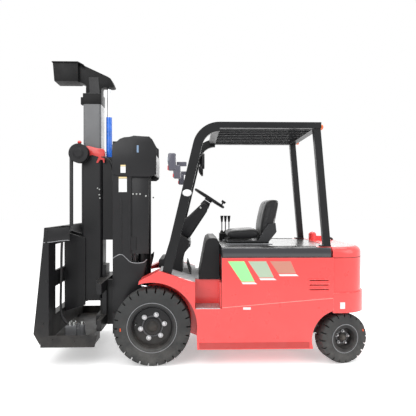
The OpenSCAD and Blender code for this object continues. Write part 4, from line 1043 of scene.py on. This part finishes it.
@dataclass
class MastTrim(SubAssembly):
    """Side plates, blank plates, bolts and pipes on the mast."""

    web_y: float = 0.3562
    top_y: float = 0.3642

    def build(self) -> None:
        """Builds both sides of the mast's trim."""
        foot = ((-0.395, 0.432), (-0.182, 0.432), (-0.126, 0.560), (-0.126, 0.742), (-0.108, 0.764), (-0.076, 0.900), (-0.073, 0.946),
                (-0.086, 0.930), (-0.104, 0.916), (-0.150, 0.910), (-0.205, 0.912), (-0.238, 0.925), (-0.268, 0.958), (-0.302, 0.990),
                (-0.330, 0.996), (-0.358, 0.984), (-0.397, 0.958))
        head = ((-0.402, 2.048), (-0.374, 2.062), (-0.330, 2.102), (-0.288, 2.118), (-0.236, 2.122), (-0.195, 2.134), (-0.110, 2.128),
                (-0.049, 2.126), (-0.020, 2.100), (0.019, 2.027), (0.019, 1.762), (-0.049, 1.741), (-0.230, 1.741), (-0.402, 1.760))
        web = ((-0.222, 1.000), (-0.054, 1.000), (-0.054, 1.745), (-0.222, 1.745))
        for side in Side:
            lift = Vector((0, side.value * 0.0055, 0))
            if side is Side.RIGHT:
                head = tuple((min(x, -0.020), z) for x, z in head)
                web = tuple((min(x, -0.128), z) for x, z in web)
            guard = Bench.outline(f"mast_web_plate_{side.word}", [truck(x, side.value * 0.3402, z) for x, z in web], Vector((0, side.value * 0.0085, 0)))
            self.finish(Bench.round_edges(guard, 0.002, 2), "mast_black", "mast")
            for name, points, y, finish in (("mast_foot_plate", foot, self.web_y, "mast_black"), ("mast_head_plate", head, self.top_y, "mast_black")):
                plate = Bench.outline(f"{name}_{side.word}", [truck(x, side.value * y, z) for x, z in points], lift)
                self.finish(Bench.round_edges(plate, 0.0014, 2), finish, "mast")
            # Painted highlight: a pale tube along the foot plate's curved top edge.
            rim = [truck(x, side.value * (self.web_y + 0.004), z + 0.001) for x, z in foot[6:]]
            self.finish(Bench.tube(f"mast_foot_rim_{side.word}", rim, 0.0042, 2), "pale_steel_and_highlight", "mast")
            self.finish(self.bolts(side), "bolt_zinc", "mast")
            self.finish(self.slats(side), "mast_black", "mast")
        head_face = -self.top_y - 0.0057
        web_face = -self.web_y - 0.0002
        for name, x, y, z, wide, high, finish in (("top", -0.297, head_face, 1.807, 0.048, 0.060, "plate_white"),
                                                  ("top_band", -0.297, head_face, 1.846, 0.048, 0.014, "blank_print"),
                                                  ("low", -0.302, web_face, 1.658, 0.078, 0.128, "plate_white"),
                                                  ("low_band", -0.302, web_face, 1.732, 0.078, 0.016, "blank_print"),
                                                  ("slot", -0.158, head_face, 2.006, 0.018, 0.068, "mirror_glass")):
            self.finish(Bench.plate(f"mast_label_{name}", truck(x, y, z), wide, high, -0.0014), finish, "mast")
        pipe = [truck(x, y, z) for x, y, z in ((-0.190, -0.332, 0.700), (-0.190, -0.334, 0.800), (-0.204, -0.336, 1.000), (-0.206, -0.336, 1.500),
                                               (-0.206, -0.336, 1.900))]
        for number, shift in enumerate((0.0, 0.016)):
            self.finish(Bench.tube(f"mast_pipe_{number}", [p + Vector((shift, 0, 0)) for p in pipe], 0.006), "hose_rubber", "mast")

    def bolts(self, side: Side) -> bpy.types.Object:
        """Sets the row of bolt heads over the upper stay on one side."""
        parts = []
        turn = Matrix.Rotation(-side.value * math.radians(90), 4, "X")
        for number, (x, z) in enumerate(((-0.205, 1.575), (-0.172, 1.575), (-0.138, 1.575), (-0.082, 1.556))):
            place = Matrix.Translation(truck(x, side.value * 0.3488, z)) @ turn
            parts.append(Bench.turned(f"bolt_{number}", ((0.0, 0.007), (0.008, 0.007), (0.010, 0.005), (0.010, 0.0), (0.0, 0.0)), place, 6))
        return Bench.join(parts, f"mast_bolts_{side.word}")

    def slats(self, side: Side) -> bpy.types.Object:
        """Lays the raised strips that stiffen the rail's web on one side."""
        parts = []
        for number, x in enumerate((-0.236, -0.318)):
            strip = Bench.plate(f"strip_{number}", truck(x, side.value * (self.web_y + 0.0001), 1.27), 0.016, 0.52, side.value * 0.004)
            parts.append(strip)
        return Bench.round_edges(Bench.join(parts, f"mast_strips_{side.word}"), 0.001, 1)


@dataclass
class HeadArm(SubAssembly):
    """The top arm: a box head with a thin cap plate, a curved neck and a narrow post."""

    top_z: float = 2.930
    half_box: float = 0.094
    half_neck: float = 0.060

    def build(self) -> None:
        """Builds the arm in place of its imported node, and the plates on it."""
        top = self.top_z
        neck = ((-0.801, top - 0.004), (-0.801, top - 0.200), (-0.775, top - 0.204), (-0.748, top - 0.216), (-0.726, top - 0.234),
                (-0.730, top - 0.262), (-0.730, top - 0.319), (-0.574, top - 0.319), (-0.574, top - 0.262), (-0.566, top - 0.244),
                (-0.470, top - 0.249), (-0.452, top - 0.246), (-0.441, top - 0.235), (-0.462, top - 0.185), (-0.478, top - 0.160),
                (-0.502, top - 0.143), (-0.738, top - 0.034), (-0.756, top - 0.030))
        parts = [Bench.outline("neck", [truck(x, -self.half_neck, z) for x, z in neck], Vector((0, 2 * self.half_neck, 0)))]
        box = ((-1.056, top - 0.012), (-1.040, top - 0.200), (-0.800, top - 0.200), (-0.800, top - 0.012))
        parts.append(Bench.outline("box", [truck(x, -self.half_box, z) for x, z in box], Vector((0, 2 * self.half_box, 0))))
        lid = ((-1.064, top - 0.012), (-0.802, top - 0.012), (-0.745, top - 0.040), (-0.740, top - 0.032), (-0.800, top), (-1.064, top))
        parts.append(Bench.outline("lid", [truck(x, -self.half_box - 0.008, z) for x, z in lid], Vector((0, 2 * self.half_box + 0.016, 0))))
        arm = Bench.round_edges(Bench.join(parts, "head_arm"), 0.003, 2)
        self.finish(arm, "head_arm_black", "inner_column", ("top_arm",))
        web = ((-0.700, top - 0.150), (-0.600, top - 0.150), (-0.584, top - 0.316), (-0.690, top - 0.316))
        plate = Bench.outline("head_arm_gusset", [truck(x, -self.half_neck - 0.008, z) for x, z in web], Vector((0, 0.008, 0)))
        self.finish(Bench.round_edges(plate, 0.001, 1), "frame_black", "inner_column")
        self.finish(self.shoulder(), "head_arm_black", "inner_column")

    def shoulder(self) -> bpy.types.Object:
        """Makes the dark sleeve and the lug that hide the grey column's upper end."""
        top = self.top_z - 0.3215
        sleeve = []
        for z, half in ((top, 0.0925), (top - 0.110, 0.0925)):
            sleeve.append([truck(-0.660 + sx * half, sy * half, z) for sx, sy in ((-1, -1), (1, -1), (1, 1), (-1, 1))])
        verts = [tuple(p) for ring in sleeve for p in ring]
        faces = [(0, 1, 2, 3), (7, 6, 5, 4), (0, 4, 5, 1), (1, 5, 6, 2), (2, 6, 7, 3), (3, 7, 4, 0)]
        piece = Bench.faces("column_sleeve", verts, faces)
        lug = Bench.cube("column_lug", (0.034, 0.060, 0.074), tuple(truck(-0.768, -0.02, top - 0.066)))
        return Bench.round_edges(Bench.join([piece, lug], "column_sleeve"), 0.002, 2)


@dataclass
class ColumnTrim(SubAssembly):
    """The red reel bracket, hoses, valves and bolts on the column and platform."""

    face_y: float = -0.1083

    def build(self) -> None:
        """Builds the trim of the column and the platform frame."""
        shape = ((-0.716, 2.064), (-0.690, 2.070), (-0.600, 2.046), (-0.540, 2.040), (-0.526, 2.022), (-0.526, 1.900), (-0.536, 1.896),
                 (-0.548, 1.930), (-0.572, 1.930), (-0.592, 1.896), (-0.612, 1.898), (-0.586, 1.958), (-0.655, 1.978), (-0.724, 1.962),
                 (-0.736, 1.968), (-0.722, 2.000), (-0.700, 2.016))
        plate = Bench.outline("reel_bracket_plate", [truck(x, self.face_y - 0.012, z) for x, z in shape], Vector((0, 0.0118, 0)))
        straps = [plate]
        for name, size, place in (("strap_rear", (0.012, 0.24, 0.05), (-0.5458, 0.0, 1.985)), ("strap_front", (0.012, 0.24, 0.05), (-0.7742, 0.0, 1.985)),
                                  ("strap_far", (0.24, 0.012, 0.05), (-0.660, 0.1145, 1.985))):
            straps.append(Bench.cube(name, size, tuple(truck(*place))))
        bracket = Bench.round_edges(Bench.join(straps, "reel_clamp"), 0.0018, 2)
        self.finish(bracket, "clamp_red", "carriage", ("reel_bracket",))
        hook = Bench.turned("reel_hook", ((0.0, 0.020), (0.012, 0.017), (0.019, 0.008), (0.021, 0.0), (0.016, -0.010), (0.008, -0.016), (0.0, -0.017)),
                            Matrix.Translation(truck(-0.770, -0.150, 2.098)), 20)
        self.finish(hook, "clamp_red", "carriage")
        self.reel_lines()
        self.platform_lines()
        self.valves()

    def reel_lines(self) -> None:
        """Lays the pipes down the hose tray and beside the column."""
        for number, (y, x) in enumerate(((-0.052, -0.424), (-0.020, -0.424), (0.012, -0.424))):
            points = [truck(x, y, z) for z in (1.960, 1.900, 1.700, 1.500, 1.300, 1.160)]
            self.finish(Bench.tube(f"tray_line_{number}", points, 0.009), "hose_rubber", "carriage")
        loop = [truck(x, y, z) for x, y, z in ((-0.560, -0.118, 1.960), (-0.500, -0.112, 1.940), (-0.462, -0.104, 1.860), (-0.448, -0.098, 1.760),
                                              (-0.446, -0.096, 1.600), (-0.446, -0.096, 1.200))]
        for number, shift in enumerate((0.0, 0.020)):
            self.finish(Bench.tube(f"column_line_{number}", [p + Vector((shift, -shift * 0.4, 0)) for p in loop], 0.0065), "hose_rubber", "carriage")

    def platform_lines(self) -> None:
        """Lays the hoses and pipes on the platform frame."""
        low = ((-0.800, -0.36, 0.300), (-0.870, -0.36, 0.360), (-0.905, -0.34, 0.460), (-0.908, -0.32, 0.640), (-0.908, -0.30, 0.900))
        high = ((-0.909, -0.30, 0.900), (-0.909, -0.29, 1.100), (-0.909, -0.24, 1.220))
        for number, shift in enumerate((0.0, 0.026)):
            points = [truck(x, y + shift, z) for x, y, z in (*low, *high)]
            self.finish(Bench.tube(f"platform_line_{number}", points, 0.008), "hose_rubber", "platform")
        for side in Side:
            skirt = ((-0.966, 1.262), (-0.738, 1.266), (-0.738, 1.150), (-0.800, 1.150), (-0.880, 1.136), (-0.974, 1.128))
            plate = Bench.outline(f"platform_skirt_{side.word}", [truck(x, side.value * 0.5935, z) for x, z in skirt], Vector((0, side.value * 0.006, 0)))
            self.finish(Bench.round_edges(plate, 0.0015, 2), "frame_black", "platform")
            # Painted highlight: a pale tube along the skirt's lower edge.
            edge = [truck(x, side.value * 0.599, z) for x, z in skirt[2:]]
            self.finish(Bench.tube(f"platform_skirt_edge_{side.word}", edge, 0.003, 2), "pale_steel_and_highlight", "platform")
        parts = []
        for number, (x, z) in enumerate(((-0.945, 1.230), (-0.945, 1.130), (-0.945, 0.780), (-0.980, 0.400), (-0.900, 0.250), (-0.700, 0.230))):
            for side in Side:
                place = Matrix.Translation(truck(x, side.value * 0.6001, z)) @ Matrix.Rotation(-side.value * math.radians(90), 4, "X")
                parts.append(Bench.turned(f"rivet_{number}_{side.word}", ((0.0, 0.006), (0.008, 0.006), (0.011, 0.003), (0.011, 0.0), (0.0, 0.0)), place, 12))
        self.finish(Bench.join(parts, "platform_bolts"), "frame_black", "platform")

    def valves(self) -> None:
        """Adds caps and fittings to the valve block, and the ports on the column."""
        parts = []
        for number, (x, y, z, radius) in enumerate(((-0.800, -0.385, 0.3302, 0.016), (-0.760, -0.385, 0.3302, 0.016), (-0.800, -0.335, 0.3302, 0.012),
                                                    (-0.760, -0.335, 0.3302, 0.012), (-0.690, -0.360, 0.3285, 0.024))):
            shape = ((0.0, 0.030), (radius * 0.6, 0.030), (radius * 0.7, 0.020), (radius, 0.018), (radius, 0.0), (0.0, 0.0))
            parts.append(Bench.turned(f"cap_{number}", shape, Matrix.Translation(truck(x, y, z)), 12))
        self.finish(Bench.join(parts, "valve_caps"), "bolt_zinc", "platform")
        turn = Matrix.Rotation(math.radians(90), 4, "X")
        ports = []
        for number, (x, z) in enumerate(((-0.567, 1.640), (-0.549, 1.628), (-0.551, 1.574), (-0.544, 1.540))):
            place = Matrix.Translation(truck(x - 0.03, self.face_y - 0.0001, z)) @ turn
            ports.append(Bench.turned(f"port_{number}", ((0.0, 0.012), (0.006, 0.012), (0.009, 0.008), (0.009, 0.0), (0.0, 0.0)), place, 8))
        self.finish(Bench.join(ports, "column_ports"), "bolt_zinc", "carriage")


@dataclass
class Cab(SubAssembly):
    """Lamps, mirrors, column shroud, dash, pedals, levers and the beacon."""

    leg_y: float = 0.520

    def build(self) -> None:
        """Dresses the cab."""
        for side in Side:
            self.lamp(side)
            self.mirror(side)
        self.shroud()
        self.dash()
        self.lever_boots()
        self.beacon()

    def lamp(self, side: Side) -> None:
        """Builds one head lamp of two rounded housings and an arm, with a lens on the upper housing and a strip on each
        housing.

        Args:
            side: The truck's side.
        """
        y = side.value * 0.548
        parts = []
        for name, size, place in (("upper", (0.070, 0.104, 0.158), (0.182, y, 1.862)), ("lower", (0.066, 0.080, 0.124), (0.226, y, 1.772)),
                                  ("arm", (0.090, 0.026, 0.040), (0.268, side.value * 0.530, 1.846))):
            parts.append(Bench.round_edges(Bench.cube(name, size, tuple(truck(*place))), 0.014 if name != "arm" else 0.003, 3))
        body = Bench.join(parts, f"head_lamp_{side.word}")
        Bench.smooth(body, 50)
        replaced = ("head_lamps",) if side is Side.LEFT else ()
        self.finish(body, "lamp_shell", "chassis", replaced)
        turn = Matrix.Rotation(math.radians(-90), 4, "Y")
        lens = Bench.turned(f"head_lens_{side.word}", ((0.0, 0.008), (0.022, 0.007), (0.038, 0.003), (0.044, -0.003), (0.0, -0.003)),
                            Matrix.Translation(truck(0.1465, y, 1.880)) @ turn, 32)
        self.finish(lens, "lens_clear", "chassis")
        for number, (x, z, high) in enumerate(((0.1455, 1.806, 0.040), (0.1925, 1.738, 0.034))):
            strip = Bench.cube(f"lamp_strip_{number}_{side.word}", (0.010, 0.090 - number * 0.02, high), tuple(truck(x + 0.001, y, z)))
            self.finish(Bench.round_edges(strip, 0.003, 2), "lamp_red", "chassis")

    def mirror(self, side: Side) -> None:
        """Adds the mirror's glass and rim on one side."""
        turn = Matrix.Rotation(math.radians(90), 4, "Y")
        place = Matrix.Translation(truck(0.4722, side.value * 0.466, 1.880)) @ turn
        glass = Bench.turned(f"mirror_glass_{side.word}", ((0.0, 0.006), (0.030, 0.005), (0.058, 0.001), (0.060, 0.0), (0.0, 0.0)), place, 40)
        self.finish(glass, "mirror_glass", "chassis")
        rim = Bench.turned(f"mirror_rim_{side.word}", ((0.062, 0.0), (0.063, 0.006), (0.070, 0.007), (0.074, 0.002), (0.074, 0.0)), place, 40)
        self.finish(rim, "plastic_black", "chassis")
        back = Matrix.Translation(truck(0.4716, side.value * 0.466, 1.880)) @ Matrix.Rotation(math.radians(-90), 4, "Y")
        shell = Bench.turned(f"mirror_shell_{side.word}", ((0.0, 0.044), (0.030, 0.040), (0.056, 0.026), (0.071, 0.006), (0.073, 0.0), (0.0, 0.0)), back, 40)
        self.finish(shell, "plastic_black", "chassis")

    def shroud(self) -> None:
        """Builds the wide moulded shroud of the steering column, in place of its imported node."""
        shape = ((0.196, 1.166), (0.212, 1.270), (0.236, 1.318), (0.262, 1.336), (0.298, 1.338), (0.330, 1.366), (0.440, 1.470),
                 (0.474, 1.494), (0.508, 1.480), (0.527, 1.452), (0.512, 1.400), (0.446, 1.300), (0.330, 1.124))
        piece = Bench.outline("column_shroud", [truck(x, -0.062, z) for x, z in shape], Vector((0, 0.124, 0)))
        piece = Bench.round_edges(piece, 0.016, 3)
        shaft = Bench.turned("column_boss", ((0.0, 0.060), (0.036, 0.060), (0.042, 0.044), (0.050, 0.0), (0.0, 0.0)),
                             Matrix.Translation(truck(0.4855, 0, 1.4562)) @ Matrix.Rotation(math.radians(33), 4, "Y"), 32)
        whole = Bench.join([piece, shaft], "column_shroud")
        self.finish(whole, "cab_plastic", "chassis", ("steering_column",))
        turn = Matrix.Rotation(math.radians(90), 4, "X")
        key = Bench.turned("key_switch", ((0.0, 0.010), (0.009, 0.010), (0.012, 0.006), (0.012, 0.0), (0.0, 0.0)),
                           Matrix.Translation(truck(0.446, -0.0622, 1.442)) @ turn, 20)
        self.finish(key, "bolt_zinc", "chassis")

    def dash(self) -> None:
        """Adds the dash box, its rim lines of painted highlight and the white oval pad on the leg."""
        block = ((0.030, 0.846), (0.030, 0.930), (0.084, 0.936), (0.158, 1.178), (0.172, 1.188), (0.347, 1.080), (0.345, 1.066),
                 (0.290, 1.000), (0.271, 0.930), (0.195, 0.872), (0.160, 0.846))
        box = Bench.outline("dash_box", [truck(x, -0.232, z) for x, z in block], Vector((0, 0.464, 0)))
        self.finish(Bench.round_edges(box, 0.008, 3), "cab_plastic", "chassis")
        for side in Side:
            # Painted highlight: two grey tubes along the top edges of the dash on each side.
            for number, drop in enumerate((0.0, 0.014)):
                edge = [truck(x, side.value * 0.2335, z - drop) for x, z in ((0.160, 1.172), (0.250, 1.126), (0.343, 1.070))]
                self.finish(Bench.tube(f"dash_rim_{number}_{side.word}", edge, 0.0035, 2), "rim_edge", "chassis")
        turn = Matrix.Rotation(math.radians(90), 4, "X")
        pad = Bench.turned("leg_pad", ((0.0, 0.008), (0.030, 0.007), (0.040, 0.003), (0.042, 0.0), (0.0, 0.0)),
                           Matrix.Translation(truck(0.318, -0.5502, 1.580)) @ turn @ Matrix.Diagonal((1.0, 0.76, 1.0, 1.0)), 36)
        self.finish(pad, "plate_white", "chassis")

    def lever_boots(self) -> None:
        """Adds folded boots to the control levers, and studded pads to the pedals."""
        rings = []
        for number in range(3):
            x = 0.770 - number * 0.040
            shape = ((0.0, 0.030), (0.014, 0.030), (0.018, 0.026), (0.014, 0.022), (0.022, 0.016), (0.017, 0.011), (0.028, 0.004), (0.029, 0.0), (0.0, 0.0))
            rings.append(Bench.turned(f"boot_{number}", shape, Matrix.Translation(truck(x, 0.350, 1.1545)), 20))
        self.finish(Bench.join(rings, "lever_boots"), "hose_rubber", "hood")
        pads = []
        for number, y in enumerate((-0.150, 0.0, 0.150)):
            for row in range(4):
                share = row / 3
                pads.append(Bench.cube(f"bar_{number}_{row}", (0.008, 0.058, 0.004),
                                       tuple(truck(0.3085 + 0.030 * share - 0.001, y, 0.896 - 0.088 * share))))
        self.finish(Bench.round_edges(Bench.join(pads, "pedal_bars"), 0.001, 1), "rim_edge", "chassis")

    def beacon(self) -> None:
        """Adds the red lenses of the rear lamps and the beacon's dome."""
        dome = Bench.turned("beacon_dome", ((0.0, 0.016), (0.024, 0.013), (0.038, 0.004), (0.040, 0.0), (0.0, 0.0)),
                            Matrix.Translation(truck(1.300, 0.208, 2.2494)), 32)
        self.finish(dome, "lamp_amber", "chassis")
        turn = Matrix.Rotation(math.radians(90), 4, "Y")
        for side in Side:
            place = Matrix.Translation(truck(1.5864, side.value * 0.480, 2.201)) @ turn
            lens = Bench.turned(f"rear_lens_{side.word}", ((0.0, 0.010), (0.016, 0.008), (0.024, 0.002), (0.025, 0.0), (0.0, 0.0)), place, 28)
            self.finish(lens, "lamp_red", "chassis")


@dataclass
class BodyTrim(SubAssembly):
    """Seams, louvre lips, hood ridges and seat rails, the hood's side rolls, a painted highlight along the side seam, a
    band of painted shade along the skirt, the battery plug's fittings and the rear end's tow pin.
    """

    face_y: float = 0.590

    def build(self) -> None:
        """Builds the body's trim."""
        for side in Side:
            self.louvres(side)
            self.lid_seam(side)
        self.hood_ridges()
        self.side_rolls()
        self.plug_details()
        self.rear_end()

    def louvres(self, side: Side) -> None:
        """Adds a pressed lip over each louvre on one side."""
        lips = []
        for row in range(3):
            z = 0.688 + row * 0.042
            y = side.value * self.face_y
            points = [truck(1.432, y, z + 0.009), truck(1.624, y, z + 0.009), truck(1.624, y, z + 0.022), truck(1.432, y, z + 0.022)]
            lips.append(Bench.outline(f"lip_{row}", points, Vector((0, side.value * 0.006, 0))))
        lips_piece = Bench.round_edges(Bench.join(lips, f"louvre_lips_{side.word}"), 0.0025, 2)
        self.finish(lips_piece, "body_red", "chassis")

    def lid_seam(self, side: Side) -> None:
        """Lays the dark seam line under the counterweight's crown on one side."""
        y = side.value
        points = [truck(1.664, y * 0.5768, 0.982), truck(1.744, y * 0.5768, 0.982)]
        for step in range(7):
            angle = math.radians(90 - step * 15)
            points.append(truck(1.750 + 0.2408 * math.cos(angle), y * (0.336 + 0.2408 * math.sin(angle)), 0.982))
        points.append(truck(1.9908, y * 0.001, 0.982))
        self.finish(Bench.tube(f"crown_seam_{side.word}", points, 0.0028, 1), "seam_dark", "chassis")

    def hood_ridges(self) -> None:
        """Adds the shallow ridges and edge strips on the hood."""
        strips = []
        for number, y in enumerate((-0.5, 0.5)):
            strips.append(Bench.cube(f"ridge_{number}", (0.84, 0.020, 0.005), tuple(truck(1.100, y, 1.0842))))
        self.finish(Bench.round_edges(Bench.join(strips, "hood_ridges"), 0.0018, 2), "hood_black", "hood")
        rails = []
        for number, y in enumerate((-0.180, 0.180)):
            rails.append(Bench.cube(f"rail_{number}", (0.46, 0.016, 0.008), tuple(truck(0.925, y + math.copysign(0.10, y), 1.0862))))
        self.finish(Bench.round_edges(Bench.join(rails, "seat_rails"), 0.0015, 2), "bare_steel", "hood")

    def side_rolls(self) -> None:
        """Adds the glossy rolled moulding along both sides of the hood, a pale line of painted highlight along the side
        seam and a darker band of painted shade along the bottom of the skirt.
        """
        for side in Side:
            ring = []
            for step in range(13):
                angle = math.radians(-90 + step * 15)
                ring.append(truck(0.646, side.value * (0.5895 + 0.013 * math.cos(angle)), 1.034 + 0.042 * math.sin(angle)))
            roll = Bench.outline(f"hood_roll_{side.word}", ring, Vector((0.990, 0, 0)))
            Bench.smooth(roll, 50)
            self.finish(roll, "hood_gloss", "hood")
            # Painted highlight: a pale red tube along the side seam stands for the light caught by its crease.
            seam_highlight_path = [truck(x, side.value * (self.face_y + 0.0002), z) for x, z in ((0.640, 0.532), (1.000, 0.561), (1.400, 0.593), (1.655, 0.613))]
            self.finish(Bench.tube(f"side_seam_{side.word}", seam_highlight_path, 0.0024, 1), "seam_painted_highlight", "chassis")
            # Painted shade: a darker red band along the bottom of the side, where the skirt turns under.
            shade_band = [truck(x, side.value * self.face_y, z) for x, z in ((0.432, 0.158), (1.440, 0.158), (1.440, 0.214), (0.426, 0.214))]
            self.finish(Bench.outline(f"skirt_band_{side.word}", shade_band, Vector((0, side.value * 0.0009, 0))), "skirt_shade_red", "chassis")

    def plug_details(self) -> None:
        """Adds the collar and the lead to the battery plug."""
        place = Matrix.Translation(truck(1.706, 0.300, 1.1525))
        shape = ((0.0, 0.022), (0.018, 0.020), (0.030, 0.012), (0.036, 0.004), (0.038, 0.0), (0.0, 0.0))
        self.finish(Bench.turned("plug_crown", shape, place, 24), "body_red", "chassis")
        lead = [truck(x, y, z) for x, y, z in ((1.870, 0.300, 1.105), (1.900, 0.302, 1.104), (1.925, 0.310, 1.096), (1.936, 0.318, 1.084))]
        self.finish(Bench.tube("plug_lead", lead, 0.012), "hose_rubber", "chassis")

    def rear_end(self) -> None:
        """Adds the tow pin's head and handle at the rear."""
        place = Matrix.Translation(truck(1.955, 0.0, 0.7104))
        pin = Bench.turned("tow_pin_head", ((0.0, 0.016), (0.016, 0.016), (0.020, 0.012), (0.020, 0.0), (0.0, 0.0)), place, 24)
        handle = Bench.tube("tow_pin_grip", [truck(1.955, -0.030, 0.722), truck(1.955, -0.030, 0.752), truck(1.955, 0.0, 0.768), truck(1.955, 0.030, 0.752),
                                             truck(1.955, 0.030, 0.722)], 0.004, 2)
        self.finish(Bench.join([pin, handle], "tow_pin"), "bare_steel", "chassis")


@dataclass
class Studio:
    """The pale floor, the white surroundings, the lamps and the camera."""

    floor_half: float = 40.0
    camera_place: Point = (-0.051, -4.5, 1.45)
    camera_pitch: float = 89.87
    camera_turn: float = -1.47
    lens: float = 37.2
    ambient: float = 0.62
    floor_lift: float = 0.42

    def build(self) -> None:
        """Builds the whole studio."""
        self.floor()
        self.world()
        self.lamps()
        self.camera()

    @staticmethod
    def seen_white(tree: Tree) -> bpy.types.NodeSocket:
        """Gives 1 for the rays that should see plain white."""
        rays = tree.add("ShaderNodeLightPath")
        either = tree.math("MAXIMUM", rays.outputs["Is Camera Ray"], rays.outputs["Is Glossy Ray"])
        return tree.math("MAXIMUM", either, rays.outputs["Is Transmission Ray"])

    def floor(self) -> None:
        """Lays the pale floor."""
        Bench.clear()
        bpy.ops.mesh.primitive_plane_add(size=2 * self.floor_half, location=(0, 0, 0))
        piece = Bench.named("studio_floor")
        material = bpy.data.materials.new("studio_floor")
        material.use_nodes = True
        tree = Tree(material.node_tree)
        surface = material.node_tree.nodes["Principled BSDF"]
        place = tree.add("ShaderNodeTexCoord").outputs["Object"]
        noise = tree.add("ShaderNodeTexNoise", {"Vector": place, "Scale": 1.5, "Detail": 4.0})
        material.node_tree.links.new(tree.mix(noise.outputs[0], (0.93, 0.93, 0.93), (0.96, 0.96, 0.96)), surface.inputs["Base Color"])
        surface.inputs["Roughness"].default_value = 0.9
        surface.inputs["Specular IOR Level"].default_value = 0.1
        lift = tree.add("ShaderNodeEmission", {"Color": (1.0, 1.0, 1.0), "Strength": tree.math("MULTIPLY", self.seen_white(tree), self.floor_lift)})
        both = tree.add("ShaderNodeAddShader", {0: surface.outputs[0], 1: lift.outputs[0]})
        material.node_tree.links.new(both.outputs[0], material.node_tree.nodes["Material Output"].inputs["Surface"])
        piece.data.materials.append(material)

    def world(self) -> None:
        """Makes soft surroundings that the camera sees as white."""
        world = bpy.data.worlds.new("studio")
        world.use_nodes = True
        tree = Tree(world.node_tree)
        world.node_tree.nodes.clear()
        soft = tree.add("ShaderNodeBackground", {"Color": (1.0, 1.0, 1.0), "Strength": self.ambient})
        white = tree.add("ShaderNodeBackground", {"Color": (1.0, 1.0, 1.0), "Strength": 1.0})
        mixed = tree.add("ShaderNodeMixShader", {0: self.seen_white(tree), 1: soft.outputs[0], 2: white.outputs[0]})
        tree.add("ShaderNodeOutputWorld", {0: mixed.outputs[0]})
        bpy.context.scene.world = world

    def lamps(self) -> None:
        """Hangs the large soft lamps."""
        rows = (("key_lamp", (-2.6, -3.6, 4.4), 4.0, 150.0), ("top_lamp", (0.6, 0.4, 5.4), 5.0, 170.0),
                ("fill_lamp", (3.6, -2.6, 2.4), 3.0, 55.0), ("back_lamp", (1.5, 5.0, 3.5), 4.0, 90.0))
        for name, place, size, power in rows:
            data = bpy.data.lights.new(name, "AREA")
            data.size = size
            data.energy = power
            lamp = bpy.data.objects.new(name, data)
            lamp.location = place
            lamp.rotation_euler = (Vector((0, 0, 0.9)) - Vector(place)).to_track_quat("-Z", "Y").to_euler()
            bpy.context.scene.collection.objects.link(lamp)

    def camera(self) -> None:
        """Places the camera at the photograph's viewing angle."""
        data = bpy.data.cameras.new("camera")
        data.lens = self.lens
        data.sensor_width = 36.0
        camera = bpy.data.objects.new("camera", data)
        camera.location = self.camera_place
        camera.rotation_euler = (math.radians(self.camera_pitch), 0, math.radians(self.camera_turn))
        bpy.context.scene.collection.objects.link(camera)
        bpy.context.scene.camera = camera


def main() -> None:
    """Builds the studio and every sub-assembly in order."""
    logging.basicConfig(level=logging.INFO, format="%(name)s: %(message)s")
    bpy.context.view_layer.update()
    Studio().build()
    shop = Paintshop()
    shop.coat_nodes(frame["nodes"])
    for kind in (SidePanels, Seat, Wheels, MastTrim, HeadArm, ColumnTrim, Cab, BodyTrim):
        LOG.info("sub-assembly %s", kind.__name__)
        kind(shop).build()
    Tyres(shop, Wheels(shop)).build()
    bpy.context.scene.view_settings.view_transform = "Standard"


if __name__ == "__main__":
    main()
